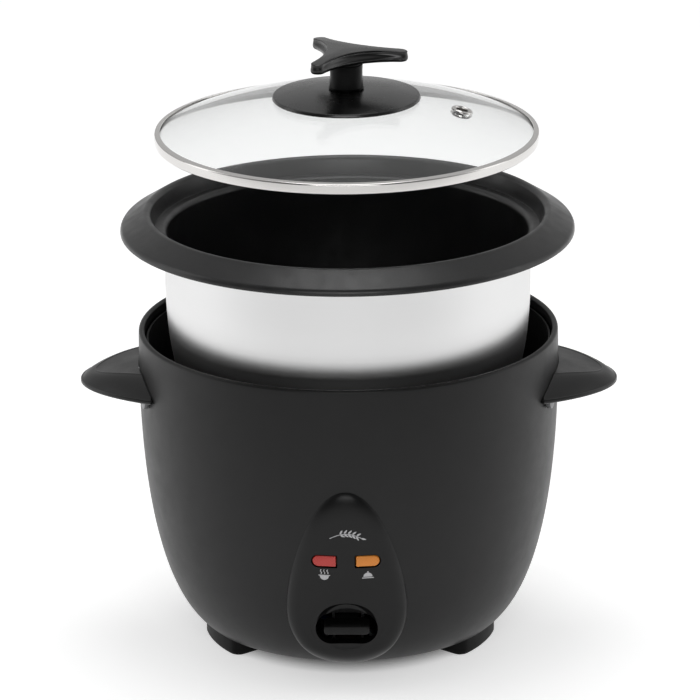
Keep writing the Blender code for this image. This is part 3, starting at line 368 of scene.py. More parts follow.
def bezier(points, count):
    """Points along a cubic curve, both ends included."""
    a, b, c, d = (Vector(p) for p in points)
    found = []
    for i in range(count + 1):
        t = i / count
        s = 1 - t
        found.append(tuple(a * s**3 + b * 3 * s * s * t + c * 3 * s * t * t + d * t**3))
    return found


def arc(centre, radius, start, end, count):
    """Points on an arc from one angle to the other, in degrees, both ends included."""
    found = []
    for i in range(count + 1):
        angle = math.radians(start + (end - start) * i / count)
        found.append((centre[0] + radius * math.cos(angle), centre[1] + radius * math.sin(angle)))
    return found


def thickened(path, thickness):
    """The closed outline of a sheet that has the path on its right-hand side."""
    ways = [(Vector(b) - Vector(a)).normalized() for a, b in zip(path, path[1:])]
    far = []
    for point, first, second in zip(path, ways[:1] + ways, ways + ways[-1:]):
        way = (first + second).normalized()
        normal = Vector((-way.y, way.x))
        stretch = max(0.5, Vector((-first.y, first.x)).dot(normal))
        far.append(tuple(Vector(point) + normal * (thickness / stretch)))
    return list(path) + far[::-1]


def rounded(corners, radius, count):
    """A closed outline with each corner made an arc."""
    found = []
    for i, corner in enumerate(corners):
        here = Vector(corner)
        to_last = (Vector(corners[i - 1]) - here).normalized()
        to_next = (Vector(corners[(i + 1) % len(corners)]) - here).normalized()
        half = to_last.angle(to_next) / 2
        middle = here + (to_last + to_next).normalized() * (radius / math.sin(half))
        first = here + to_last * (radius / math.tan(half)) - middle
        start = math.degrees(math.atan2(first.y, first.x))
        turn = 180 - math.degrees(2 * half)
        if to_last.cross(to_next) > 0:
            turn = -turn
        found += arc(middle, radius, start, start + turn, count)
    return found


def lifted(points, height=0.0):
    """An outline given in millimetres, as metres above a height."""
    return [(radius * MM, height + z * MM) for radius, z in points]


def box_outline(half_width, low, high, radius, count=8):
    """A rectangle with rounded corners."""
    corners = [(-half_width, low), (half_width, low), (half_width, high), (-half_width, high)]
    return rounded(corners, radius, count)


# ---- meshes


def linked(name, data):
    """A new object of that data, in the scene."""
    obj = bpy.data.objects.new(name, data)
    bpy.context.scene.collection.objects.link(obj)
    return obj


def object_of(name, shape):
    """An object of a bmesh whose faces point outwards."""
    bmesh.ops.remove_doubles(shape, verts=shape.verts, dist=1e-7)
    if shape.calc_volume(signed=True) < 0:
        bmesh.ops.reverse_faces(shape, faces=shape.faces)
    mesh = bpy.data.meshes.new(name)
    shape.to_mesh(mesh)
    shape.free()
    return linked(name, mesh)


def turned(name, outline, steps=TURN_STEPS, second_from=None):
    """A solid turned about Z. An outline that touches the axis starts and ends there.

    Faces from the outline's edge number second_from onwards take the second material.
    """
    on_axis = outline[0][0] < 1e-9
    shape = bmesh.new()
    rows = []
    for radius, height in outline:
        ring = [(0, 0, height)] if radius < 1e-9 else circle(radius, height, steps)
        rows.append([shape.verts.new(point) for point in ring])
    pairs = list(zip(rows, rows[1:]))
    if not on_axis:
        pairs.append((rows[-1], rows[0]))
    for number, (low, high) in enumerate(pairs):
        for i in range(steps):
            k = (i + 1) % steps
            ring = [low[i % len(low)], low[k % len(low)], high[k % len(high)], high[i % len(high)]]
            corners = list(dict.fromkeys(ring))
            if len(corners) < 3:
                continue
            face = shape.faces.new(corners)
            face.material_index = int(second_from is not None and number >= second_from)
    return object_of(name, shape)


def add_skin(shape, rings):
    """Faces over closed rings that have the same number of points, capped at both ends."""
    rows = [[shape.verts.new(point) for point in ring] for ring in rings]
    count = len(rings[0])
    for low, high in zip(rows, rows[1:]):
        for i in range(count):
            k = (i + 1) % count
            shape.faces.new((low[i], low[k], high[k], high[i]))
    shape.faces.new(rows[0][::-1])
    shape.faces.new(rows[-1])


def skinned(name, rings):
    """A solid skinned over closed rings."""
    shape = bmesh.new()
    add_skin(shape, rings)
    return object_of(name, shape)


def slab(name, outline, low, high, soften=0.0):
    """An outline in the XZ plane extruded from one depth to another, with its front edge softened."""
    rings = []
    if soften:
        middle = [sum(p[axis] for p in outline) / len(outline) for axis in (0, 1)]
        half = max(abs(p[0] - middle[0]) for p in outline)
        rise = max(abs(p[1] - middle[1]) for p in outline)
        for angle in (0, 30, 60, 90):
            inset = soften * (1 - math.sin(math.radians(angle)))
            depth = soften * (1 - math.cos(math.radians(angle)))
            wide, tall = (half - inset) / half, (rise - inset) / rise
            ring = []
            for x, z in outline:
                x, z = middle[0] + (x - middle[0]) * wide, middle[1] + (z - middle[1]) * tall
                ring.append((x, low + depth, z))
            rings.append(ring)
    else:
        rings.append([(x, low, z) for x, z in outline])
    rings.append([(x, high, z) for x, z in outline])
    return skinned(name, rings)


def rod(name, radius, start, end, sides=SMALL_STEPS):
    """A round bar from one point to another."""
    start, end = Vector(start), Vector(end)
    turn = (end - start).to_track_quat("Z", "Y").to_matrix()
    around = [turn @ Vector(point) for point in circle(radius, 0, sides)]
    return skinned(name, [[middle + point for point in around] for middle in (start, end)])


def block(name, low, high):
    corners = [(low[0], low[2]), (high[0], low[2]), (high[0], high[2]), (low[0], high[2])]
    return slab(name, corners, low[1], high[1])


def combine(piece, tools, operation="DIFFERENCE"):
    """Applies Booleans with the tools and removes them."""
    for tool in tools:
        modifier = piece.modifiers.new(tool.name, "BOOLEAN")
        modifier.operation = operation
        modifier.object = tool
        modifier.solver = "EXACT"
    graph = bpy.context.evaluated_depsgraph_get()
    mesh = bpy.data.meshes.new_from_object(piece.evaluated_get(graph))
    piece.modifiers.clear()
    piece.data = mesh
    for tool in tools:
        bpy.data.objects.remove(tool)
    return piece


def show(obj, node, look=None, crease=CREASE_ANGLE, second=None):
    """Finishes a piece that stands for a CAD node: its look, by default the one of the node's slot,
    smooth shading and body.
    """
    sides = [face.material_index for face in obj.data.polygons]
    obj.data.materials.clear()
    obj.data.materials.append(LOOKS[look or SLOT_OF[node]])
    if second:
        obj.data.materials.append(LOOKS[second])
    for face, side in zip(obj.data.polygons, sides):
        face.use_smooth = len(face.vertices) < CAP_CORNERS
        face.material_index = side if second else 0
    obj.data.set_sharp_from_angle(angle=crease)
    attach(obj, BODY_OF[node])
    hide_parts(node)


def on_circle(radius, angle):
    """A point at an angle from the front of the cooker towards +X."""
    return (radius * math.sin(angle), -radius * math.cos(angle), 0)


# ---- housing, liner, base and feet


def housing_path():
    return bezier(HOUSING_CURVE, 72)


def envelope():
    """The housing's outside as a solid, a gap larger, for trimming what is fixed to it."""
    wall = [(radius + GAP, z) for radius, z in housing_path()]
    top = (wall[0][0], HOUSING_TOP + 10 * MM)
    return turned("envelope", [(0, top[1]), top, *wall, (wall[-1][0], 0.0), (0, 0)])


def make_housing():
    wall = housing_path()
    centre = (wall[0][0] - ROLL_RADIUS, wall[0][1])
    inner = [(radius - HOUSING_WALL, z) for radius, z in wall[1:]]
    lip = HOUSING_TOP - 5.0 * MM
    left = centre[0] - ROLL_RADIUS
    outline = arc(centre, ROLL_RADIUS, 180, 0, 14) + wall[1:] + inner[::-1]
    outline += [(left + 1.2 * MM, lip), (left, lip)]
    housing = turned("housing_shell", outline)
    inlet_low, inlet_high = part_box("power_inlet")
    tools = [
        block("lever_hole", (-17.5 * MM, -110 * MM, 26 * MM), (17.5 * MM, -80 * MM, 48 * MM)),
        block("lamp_hole", (-21 * MM, -120 * MM, 69 * MM), (21 * MM, -90 * MM, 85 * MM)),
        block(
            "inlet_hole",
            (inlet_low.x - GAP, 70 * MM, inlet_low.z - GAP),
            (inlet_high.x + GAP, 115 * MM, inlet_high.z + GAP),
        ),
    ]
    for name, side, y, z in handle_screws():
        tools.append(rod(name, 2.3 * MM, (side * 100 * MM, y, z), (side * 120 * MM, y, z), 24))
    show(combine(housing, tools), "outer_housing")


def handle_screws():
    """Each handle screw's name and side, and the depth and height of its middle."""
    found = []
    for name in sorted(BODY_OF):
        if name.startswith("handle_screw_"):
            low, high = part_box(name)
            side = math.copysign(1, low.x)
            found.append((name, side, (low.y + high.y) / 2, (low.z + high.z) / 2))
    return found


def make_liner():
    low = (LINER_LOW_RADIUS - 18 * MM, DECK_TOP - LINER_SHEET + 18 * MM)
    path = [
        (17.0 * MM, DECK_TOP - LINER_SHEET),
        *arc(low, 18 * MM, -90, 0, 14),
        (LINER_TOP_RADIUS, LINER_TOP - 4 * MM),
        (LINER_TOP_RADIUS, LINER_TOP),
    ]
    show(turned("liner_drum", thickened(path, LINER_SHEET)), "inner_liner")


def make_base():
    curl = 1.8 * MM
    path = [
        (0, BASE_BOTTOM),
        *arc((BASE_RADIUS - curl, BASE_BOTTOM + curl), curl, -90, 0, 8),
        (BASE_RADIUS, BASE_BOTTOM + 6.0 * MM),
    ]
    base = turned("base_cover", thickened(path, 1.6 * MM))
    tools = []
    for i in range(BASE_VENTS):
        angle = 2 * math.pi * (i + 0.5) / BASE_VENTS
        ends = lifted(box_outline(1.5, -9, 9, 1.45, 6))
        turn = Matrix.Rotation(angle, 3, "Z")
        middle = Vector(on_circle(BASE_VENT_RING, angle))
        rings = [[middle + turn @ Vector((x, y, z)) for x, y in ends] for z in (0, 20 * MM)]
        tools.append(skinned(f"vent_{i}", rings))
    for name, angle in FEET.items():
        x, y, _ = on_circle(FOOT_SCREW_RADIUS, math.radians(angle))
        tools.append(rod(name + "_hole", 2.1 * MM, (x, y, 0), (x, y, 20 * MM), 24))
    show(combine(base, tools), "base_plate")


def foot_outline():
    """A sector of a ring with rounded corners, bent round the vertical axis."""
    middle = (FOOT_OUTER + FOOT_INNER) / 2
    half_depth = (FOOT_OUTER - FOOT_INNER) / 2
    flat = box_outline(middle * FOOT_HALF_ANGLE, -half_depth, half_depth, 5 * MM)
    bent = []
    for i, point in enumerate(flat):
        span = Vector(flat[(i + 1) % len(flat)]) - Vector(point)
        pieces = max(1, round(span.length / (2 * MM)))
        for k in range(pieces):
            along, across = Vector(point) + span * (k / pieces)
            angle = along / middle
            bent.append(((middle + across) * math.cos(angle), (middle + across) * math.sin(angle)))
    return bent


def make_foot(name, angle):
    turn = Matrix.Rotation(angle - math.pi / 2, 3, "Z")
    # The same number of points in each ring: the inset ones follow the widest.
    wide = foot_outline()
    centre = Vector((sum(p[0] for p in wide) / len(wide), 0))
    rings = []
    for drop, inset in ((0, 1.0), (0.25, 0.45), (0.7, 0.12), (1.4, 0), (FOOT_HEIGHT / MM, 0)):
        ring = []
        for point in wide:
            away = Vector(point) - centre
            x, y = centre + away * (1 - inset * MM / away.length)
            ring.append(turn @ Vector((x, y, drop * MM)))
        rings.append(ring)
    foot = skinned(name + "_pad", rings)
    x, y, _ = on_circle(FOOT_SCREW_RADIUS, angle)
    tools = [
        rod("well", 4.6 * MM, (x, y, -1 * MM), (x, y, 5 * MM)),
        rod("hole", 2.2 * MM, (x, y, 1 * MM), (x, y, 12 * MM)),
    ]
    show(combine(foot, tools), name, look="foot_plastic")


# ---- control panel and lever


def panel_front(z):
    """The depth of the panel's face at a height: it leans back a little, and curls in at the foot."""
    return -(PANEL_FRONT + PANEL_LEAN * (z - 20 * MM) - 40 * max(0.0, 26 * MM - z) ** 2)


def face_y(x, z):
    """The depth of the face at a point: from side to side it bends back round the body."""
    return panel_front(z) + x * x / (2 * PANEL_BEND)


def panel_point(angle, inset):
    """A point of the egg-shaped outline, as (x, z), moved in towards the middle by inset."""
    across, up = math.cos(angle), math.sin(angle)
    half_height, power = PANEL_DROP, PANEL_FOOT_POWER
    if up >= 0:
        half_height, power = PANEL_RISE, PANEL_TOP_POWER
    z = half_height * abs(up) ** (2 / power) * math.copysign(1, up)
    x = PANEL_HALF_WIDTH * across
    length = math.hypot(x, z)
    shrink = max(0.0, (length - inset) / length)
    return x * shrink, PANEL_MIDDLE_Z + z * shrink


def panel_ring(inset, depth, count, flat=None):
    """A ring of the panel, that far behind its face, or all at the depth flat."""
    ring = []
    for angle in angles(count):
        x, z = panel_point(angle, inset)
        ring.append((x, face_y(x, z) + depth if flat is None else flat, z))
    return ring


def panel_face_rings(count):
    """Rings of the domed face, from its edge inwards: a broad rounded bevel, then the flat."""
    rings = []
    steps = 16
    for j in range(steps + 1):
        share = 1 - math.cos(math.pi / 2 * j / steps)
        ring = []
        for angle in angles(count):
            up = math.sin(angle)
            width = BEVEL_WIDTH + (BEVEL_WIDER_TOP if up > 0 else BEVEL_WIDER_FOOT) * up**2
            drop = BEVEL_DROP + (BEVEL_DEEPER_TOP if up > 0 else BEVEL_DEEPER_FOOT) * up**2
            x, z = panel_point(angle, width * share)
            bow = 2.1 - 0.4 * max(0.0, up) ** 2
            curve = (1 - (1 - share) ** bow) ** (1 / bow)
            ring.append((x, face_y(x, z) + drop * (1 - curve), z))
        rings.append(ring)
    return rings + inner_face_rings(rings[-1], [1 - j / 14 for j in range(1, 14)])


def inner_face_rings(outer, shares, depth=0.0):
    """Rings that follow the face inwards, each a share of the size of the outer ring."""
    rings = []
    for share in shares:
        ring = []
        for x, _, z in outer:
            x, z = x * share, PANEL_MIDDLE_Z + (z - PANEL_MIDDLE_Z) * share
            ring.append((x, face_y(x, z) + depth, z))
        rings.append(ring)
    return rings


def window_outline(side, clearance=0.0):
    """A window with a round outer end and a square inner end."""
    half = WINDOW_LENGTH / 2 - clearance
    radius = WINDOW_HEIGHT / 2 - clearance
    inner = rounded([(0, radius), (-half, radius), (-half, -radius), (0, -radius)], 0.7 * MM, 4)[5:15]
    points = arc((half - radius, 0), radius, -90, 90, 12) + inner
    return [(side * (WINDOW_X + x), WINDOW_Z + z) for x, z in points]


def pill(half_length, low, high, count=10):
    return box_outline(half_length, low, high, (high - low) / 2 * 0.98, count)


def make_panel():
    count = 144
    rings = [panel_ring(0, 0, count, PANEL_BACK_Y)] + panel_face_rings(count)
    panel = skinned("panel_shell", rings)
    inner = [panel_ring(PANEL_WALL, 0, 72, PANEL_BACK_Y + 5 * MM)]
    for inset, depth in ((0, 8.6 * MM), (4 * MM, 4.6 * MM), (10 * MM, PANEL_WALL)):
        inner.append(panel_ring(PANEL_WALL + inset, depth, 72))
    inner += inner_face_rings(inner[-1], (0.75, 0.5, 0.25, 0.08), PANEL_WALL)
    panel = combine(panel, [skinned("panel_cavity", inner)])
    face = panel_front(SCOOP_Z)
    well = slab(
        "well",
        pill(SLOT_LENGTH / 2 + 3 * MM, SLOT_BOTTOM - 3 * MM, SLOT_TOP + 7 * MM),
        face + 2.6 * MM,
        face + 9.5 * MM,
    )
    panel = combine(panel, [well], "UNION")
    slot = slab("slot", pill(SLOT_LENGTH / 2, SLOT_BOTTOM, SLOT_TOP, 13), -130 * MM, -84 * MM)
    windows = [slab("window", window_outline(side), -140 * MM, -84 * MM) for side in (-1, 1)]
    for tool in [combine(make_scoop(face), [slot], "UNION"), *windows, envelope()]:
        panel = combine(panel, [tool])
    show(panel, "control_panel", look="panel_plastic", crease=math.radians(38))


def make_scoop(face):
    """The shallow dish round the lever's slot."""
    tilt = Matrix.Rotation(math.atan(PANEL_LEAN), 3, "X")
    middle = Vector((0, face, SCOOP_Z))
    shape = bmesh.new()
    bmesh.ops.create_icosphere(shape, subdivisions=5, radius=1.0)
    for vertex in shape.verts:
        wide, deep, tall = SCOOP_SIZE
        x, y, z = vertex.co
        if z < 0:
            deep *= 1 - 0.72 * min(1.0, -2.5 * z)
        vertex.co = middle + tilt @ Vector((x * wide, y * deep, z * tall))
    return object_of("scoop", shape)


def make_lenses():
    for side, name in ((-1, "cook"), (1, "warm")):
        low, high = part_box(name + "_lens")
        outline = window_outline(side, 0.75 * MM)
        lens = slab(name + "_lamp_lens", outline, low.y, high.y, 0.5 * MM)
        for vertex in lens.data.vertices:
            if vertex.co.y < high.y - 0.1 * MM:
                vertex.co.y += vertex.co.x**2 / (2 * PANEL_BEND) - 0.2 * MM
        show(lens, name + "_lens")


def make_tab():
    low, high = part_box("lever_knob")
    half = (high.x - low.x) / 2
    rings = []
    for inset, depth in ((1.1, 0), (0.62, 0.08), (0.32, 0.26), (0.08, 0.62), (0, 1.1), (0, None)):
        cut = inset * MM
        outline = box_outline(half - cut, low.z + cut, high.z - cut, 2.0 * MM - cut, 8)
        y = high.y if depth is None else low.y + depth * MM
        rings.append([(x, y, z) for x, z in outline])
    tab = skinned("lever_tab", rings)
    trough = slab(
        "trough",
        box_outline(half - 3.6 * MM, high.z - 1.0 * MM, high.z + 3 * MM, 0.6 * MM, 4),
        low.y + 1.2 * MM,
        low.y + 3.6 * MM,
    )
    show(combine(tab, [trough]), "lever_knob", look="tab_plastic")


def flat_mark(name, shapes, size, at_x, at_z):
    """Small printed shapes on the panel's face. Each is an outline in units of the size given."""
    shape = bmesh.new()
    for outline in shapes:
        placed = [(at_x + a * size, at_z + b * size) for a, b in outline]
        rings = []
        for depth in (0.12 * MM, -0.15 * MM):
            rings.append([(x, face_y(x, z) - depth, z) for x, z in placed])
        add_skin(shape, rings)
    bmesh.ops.recalc_face_normals(shape, faces=shape.faces)
    mark = object_of(name, shape)
    mark.data.materials.append(LOOKS["mark"])
    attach(mark, BODY_OF["control_panel"])


def stroke(points, width):
    """The outline of a line of that width along the points."""
    left, right = [], []
    for i, point in enumerate(points):
        way = Vector(points[min(i + 1, len(points) - 1)]) - Vector(points[max(i - 1, 0)])
        normal = Vector((-way.y, way.x)).normalized() * (width / 2)
        left.append(tuple(Vector(point) + normal))
        right.append(tuple(Vector(point) - normal))
    return left + right[::-1]


def bowl_icon():
    """A bowl with a line across its rim, and three wavy lines of steam over it."""
    shapes = [arc((0, 0.1), 0.5, 180, 360, 16), stroke([(-0.64, 0.16), (0.64, 0.16)], 0.1)]
    for k in (-1, 0, 1):
        wave = [(0.36 * k + 0.07 * math.sin(t * 1.1), 0.32 + 0.09 * t) for t in range(7)]
        shapes.append(stroke(wave, 0.09))
    return shapes


def keep_icon():
    """A covered dish on a short line."""
    line = stroke([(-0.64, -0.26), (0.64, -0.26)], 0.11)
    return [arc((0, -0.12), 0.5, 0, 180, 16), arc((0, 0.47), 0.09, 0, 345, 9), line]


def grain(middle, heading):
    """A pointed grain of rice."""
    turn = Matrix.Rotation(heading, 2)
    found = []
    for a, b in arc((0, 0), 1.0, 0, 340, 17):
        found.append(tuple(middle + turn @ Vector((a, 0.36 * b * (1 - 0.3 * a))) * 0.075))
    return found


def rice_ear():
    """A bending ear of rice: a stalk with a row of grains along each side."""
    stalk = []
    for i in range(17):
        share = i / 16
        stalk.append(Vector((share - 0.5, 0.16 * math.sin(math.pi * share) - 0.06)))
    shapes = [stroke(stalk, 0.022)]
    for k in range(5):
        for side in (-1, 1):
            heading = 0.35 - 0.16 * k + side * 0.75
            away = Vector((math.cos(heading), math.sin(heading))) * 0.105
            shapes.append(grain(stalk[5 + 2 * k] + away, heading))
    shapes.append(grain(stalk[-1] + Vector((0.06, -0.02)), -0.3))
    return shapes


def make_marks():
    flat_mark("cook_mark", bowl_icon(), 4.8 * MM, -WINDOW_X, WINDOW_Z - 8.8 * MM)
    flat_mark("warm_mark", keep_icon(), 4.8 * MM, WINDOW_X, WINDOW_Z - 8.3 * MM)
    flat_mark("panel_emblem", rice_ear(), 17.0 * MM, 0, WINDOW_Z + 14.6 * MM)


# ---- handles


def handle_ring(side, reach, half_width, base_z, droop, power=1.0):
    """A ring round a handle: reach and half_width are its size, and it droops towards its end."""
    ring = []
    for angle in angles(HANDLE_STEPS):
        share, across = math.cos(angle), math.sin(angle)
        along = math.copysign(abs(share) ** HANDLE_TAPER, share)
        z = base_z - droop * math.copysign(abs(along) ** power, along)
        ring.append((side * (HANDLE_ROOT_X + reach * along), half_width * across, z))
    return ring


def mixed(first, second, share, rise=None):
    """A ring part of the way from one to another, with another share in height if rise is given."""
    ring = []
    for a, b in zip(first, second):
        a, way = Vector(a), Vector(b) - Vector(a)
        height = way.z * (share if rise is None else rise)
        ring.append((a.x + way.x * share, a.y + way.y * share, a.z + height))
    return ring


def handle_solid(name, side, inset, under):
    """A handle's outer shape, or with an inset the hollow in it, which starts that far under it."""
    reach, width = HANDLE_REACH - inset, HANDLE_HALF_WIDTH - inset
    crease_reach, crease_width = CREASE_REACH - inset / 2, CREASE_HALF_WIDTH - inset / 2
    edge_top = HANDLE_EDGE_Z + HANDLE_EDGE_HEIGHT - inset
    bottom = handle_ring(side, reach, width, HANDLE_EDGE_Z - under, HANDLE_EDGE_DROOP)
    edge = handle_ring(side, reach, width, edge_top, HANDLE_EDGE_DROOP)
    crease = handle_ring(side, crease_reach, crease_width, CREASE_Z - inset, CREASE_DROOP, 2.0)
    top = handle_ring(side, 12 * MM, 10 * MM, CREASE_Z + 0.7 * MM - inset, 0.8 * MM)
    if inset:
        return skinned(name, [bottom, edge, crease, top])
    levels = (
        (0.5, HANDLE_EDGE_Z),
        (0, HANDLE_EDGE_Z + 0.5 * MM),
        (0, edge_top - 0.5 * MM),
        (0.25, edge_top - 0.1 * MM),
        (0.95, edge_top),
    )
    rings = []
    for cut, z in levels:
        cut *= MM
        rings.append(handle_ring(side, reach - cut, width - cut, z, HANDLE_EDGE_DROOP))
    step = rings[-1]
    # The surface bulges: it climbs steeply at first and then flattens.
    for t in (0.03, 0.08, 0.15, 0.25, 0.37, 0.5, 0.63, 0.76, 0.87, 0.95):
        rings.append(mixed(step, crease, t, 1 - (1 - t) ** 1.55))
    bead = [(x, y, z + 0.22 * MM) for x, y, z in crease]
    rings += [bead, mixed(crease, top, 0.03)]
    rings += [mixed(crease, top, t) for t in (0.08, 0.2, 0.45, 0.7, 1.0)]
    centre = (side * HANDLE_ROOT_X, 0, CREASE_Z + 0.7 * MM)
    rings += [mixed(top, [centre] * len(top), t) for t in (0.5, 0.9)]
    return skinned(name, rings)


def make_handle(side_name, side):
    handle = handle_solid("grip_" + side_name, side, 0, 0)
    handle = combine(handle, [handle_solid("hollow", side, HANDLE_WALL, 10 * MM)])
    bosses, bores = [], []
    for name, screw_side, y, z in handle_screws():
        if screw_side == side:
            near, far, end = (side * reach * MM for reach in (100, 119, 120))
            bosses.append(rod(name + "_boss", 3.2 * MM, (side * 106 * MM, y, z), (end, y, z), 24))
            bores.append(rod(name + "_bore", 2.0 * MM, (near, y, z), (far, y, z), 24))
    handle = combine(handle, bosses, "UNION")
    show(combine(handle, bores + [envelope()]), "handle_" + side_name, crease=math.radians(40))


def make_bracket(side_name, side):
    """A steel strip bent round the housing under the handle, with round ends."""
    node = "handle_bracket_" + side_name
    low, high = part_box(node)
    inner, outer = 113.6 * MM, 116.0 * MM
    half = (high.z - low.z) / 2
    middle = (high.z + low.z) / 2
    rings = []
    spread = math.radians(21.0)
    lug = 3.4 * MM
    lug_middle = spread * inner - lug
    for i in range(97):
        angle = spread * (2 * i / 96 - 1)
        away = abs(abs(angle) * inner - lug_middle)
        drop = math.sqrt(max(lug**2 - away**2, 0.0))
        bottom = min(low.z, middle + 0.4 * MM - drop)
        if abs(angle) * inner > lug_middle:
            bottom = middle + 0.4 * MM - max(drop, 0.2 * half)
        ring = []
        corners = [(inner, bottom), (outer, bottom), (outer, high.z), (inner, high.z)]
        for radius, z in rounded(corners, 0.12 * MM, 2):
            ring.append((side * radius * math.cos(angle), radius * math.sin(angle), z))
        rings.append(ring)
    show(skinned("bracket_strip_" + side_name, rings), node)


# ---- power inlet


def make_inlet():
    low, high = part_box("power_inlet")
    half = (high.x - low.x) / 2
    outline = box_outline(half, low.z, high.z, 2 * MM, 8)
    inlet = slab("inlet_shroud", outline, -high.y, -low.y, 0.6 * MM)
    inlet.data.transform(Matrix.Scale(-1, 4, (0, 1, 0)))
    inlet.data.flip_normals()
    wall = 2.5 * MM
    outline = box_outline(half - wall, low.z + wall, high.z - wall, 2.5 * MM, 8)
    tools = [slab("recess", outline, high.y - 17 * MM, high.y + 9 * MM)]
    pins = {name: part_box("inlet_pin_" + name) for name in ("live", "neutral", "earth")}
    for name, (pin_low, pin_high) in pins.items():
        tools.append(block(name + "_hole", [v - GAP for v in pin_low], [v + GAP for v in pin_high]))
    show(combine(inlet, tools), "power_inlet")
    for name, (pin_low, pin_high) in pins.items():
        outline = box_outline((pin_high.x - pin_low.x) / 2, pin_low.z, pin_high.z, 0.35 * MM, 4)
        shift = (pin_high.x + pin_low.x) / 2
        pin = slab("pin_" + name, [(x + shift, z) for x, z in outline], pin_low.y, pin_high.y)
        show(pin, "inlet_pin_" + name)


# ---- inner pot


def make_pot():
    bottom = -POT_DEPTH
    dimple = bottom + 0.8 * MM
    low_ends = [(POT_FLAT_RADIUS, bottom), (93.0 * MM, bottom)]
    wall = bezier(low_ends + [(POT_WALL_RADIUS, z * MM) for z in (-60.0, -25.0)], 40)
    ledge = SEAT_HEIGHT - POT_SHEET
    path = [
        (0, dimple),
        (19 * MM, dimple),
        (21 * MM, bottom),
        *wall,
        (POT_WALL_RADIUS, -12.0 * MM),
        *arc((POT_WALL_RADIUS + 1.4 * MM, ledge - 1.4 * MM), 1.4 * MM, 180, 90, 6),
        *arc((103.0 * MM, ledge + 1.8 * MM), 1.8 * MM, -90, 0, 8),
        *arc((107.9 * MM, 8.1 * MM), 1.2 * MM, 166, 55, 12),
        *arc((118.2 * MM, 0.8 * MM), 2.0 * MM, 55, 0, 8),
        (POT_LIP_RADIUS, 0.1 * MM),
    ]
    outline = [(radius, POT_LIP + z) for radius, z in thickened(path, POT_SHEET)]
    # The path is the bare metal outside; the rest of the outline is the coated inside.
    pot = turned("pot_bowl", outline, second_from=len(path) - 1)
    show(pot, "inner_pot", second="nonstick")


# ---- lid


def glass_height(radius):
    """Height of the glass's upper face at a distance from the axis."""
    return GLASS_TOP - GLASS_SPHERE + math.sqrt(GLASS_SPHERE**2 - radius**2)


def vent_seat():
    slope = math.asin(math.hypot(*VENT_PLACE) / GLASS_SPHERE)
    heading = math.atan2(VENT_PLACE[1], VENT_PLACE[0])
    tilt = Matrix.Rotation(heading, 4, "Z") @ Matrix.Rotation(slope, 4, "Y")
    return Matrix.Translation((*VENT_PLACE, glass_height(math.hypot(*VENT_PLACE)))) @ tilt


def make_glass():
    hole = 4.4 * MM
    count = 40
    radii = [hole + (GLASS_RADIUS - hole) * i / count for i in range(count + 1)]
    upper = [(radius, glass_height(radius)) for radius in radii]
    lower = [(radius, z - GLASS_SHEET) for radius, z in upper]
    glass = turned("glass_dome", upper[::-1] + lower)
    drill = rod("drill", 4.7 * MM, (0, 0, -12 * MM), (0, 0, 12 * MM))
    drill.data.transform(vent_seat())
    show(combine(glass, [drill]), "lid_glass")


def make_eyelet():
    hole, gap, below = VENT_HOLE / MM, GAP / MM, -GLASS_SHEET / MM
    outline = lifted(
        [
            *arc((hole + 0.35, 0.75), 0.35, 180, 90, 5),
            *arc((5.0, 0.55), 0.75, -20, 170, 14)[::-1],
            (5.9, gap + 0.1),
            (4.3, gap),
            (4.3, below - gap),
            (5.9, below - gap),
            (5.2, below - 1.0),
            (hole, below - 1.0),
        ]
    )
    eyelet = turned("steam_eyelet", outline, 64)
    eyelet.data.transform(vent_seat())
    show(eyelet, "vent_eyelet")


def make_band():
    top = LID_BOTTOM + BAND_HEIGHT
    band = [
        (99.4 * MM, LID_BOTTOM),
        *arc((BAND_RADIUS - 1 * MM, LID_BOTTOM + 1 * MM), 1 * MM, -90, 0, 8),
        *arc((BAND_RADIUS - 1 * MM, top - 1.2 * MM), 1 * MM, 0, 70, 8),
        (99.8 * MM, glass_height(99.8 * MM) + BAND_SHEET + 0.35 * MM),
    ]
    show(turned("rim_band", thickened(band, BAND_SHEET)), "lid_rim")


def make_disc():
    outline = [
        (4.6, 1.1),
        *bezier([(8, 0.98), (20, 0.3), (30, -0.6), (36, -1.2)], 10),
        (38.6, -2.5),
        *arc((39.05, -1.95), 0.55, -60, 20, 6),
        *arc((38.7, -1.15), 0.6, 0, 75, 6),
        *bezier([(38.4, -0.5), (28, 1.5), (18, 2.75), (11, 3)], 20),
        (4.6, 3.0),
    ]
    show(turned("knob_skirt", lifted(outline, GLASS_TOP)), "knob_disc", look="gloss_plastic")


def star_outline(tip_distance, tip_radius, waist):
    """A three-armed star: round tips, with a hollow arc between each two that touches both."""
    third = 2 * math.pi / 3
    gap = tip_radius - waist
    centre = (tip_distance**2 - gap**2) / (tip_distance + 2 * gap)
    hollow = centre - waist
    middle = Vector((centre * math.cos(third / 2), centre * math.sin(third / 2)))
    meeting = math.degrees(math.atan2(middle.y, middle.x - tip_distance))
    touch = math.degrees(math.atan2(-middle.y, tip_distance - middle.x))
    arm = arc((tip_distance, 0), tip_radius, -meeting, meeting, 16)
    valley = arc(middle, hollow, 360 + touch, 120 - touch, 24)[1:-1]
    outline = []
    for i in range(3):
        turn = Matrix.Rotation(i * third, 2)
        outline += [tuple(turn @ Vector(point)) for point in arm + valley]
    return outline


def star_ring(z, droop, tip_distance, tip_radius, waist, scale=1.0):
    ring = []
    for x, y in star_outline(tip_distance * MM, tip_radius * MM, waist * MM):
        x, y = scale * x, scale * y
        ring.append((x, y, z - droop * MM * (x * x + y * y) / STAR_REACH**2))
    return ring


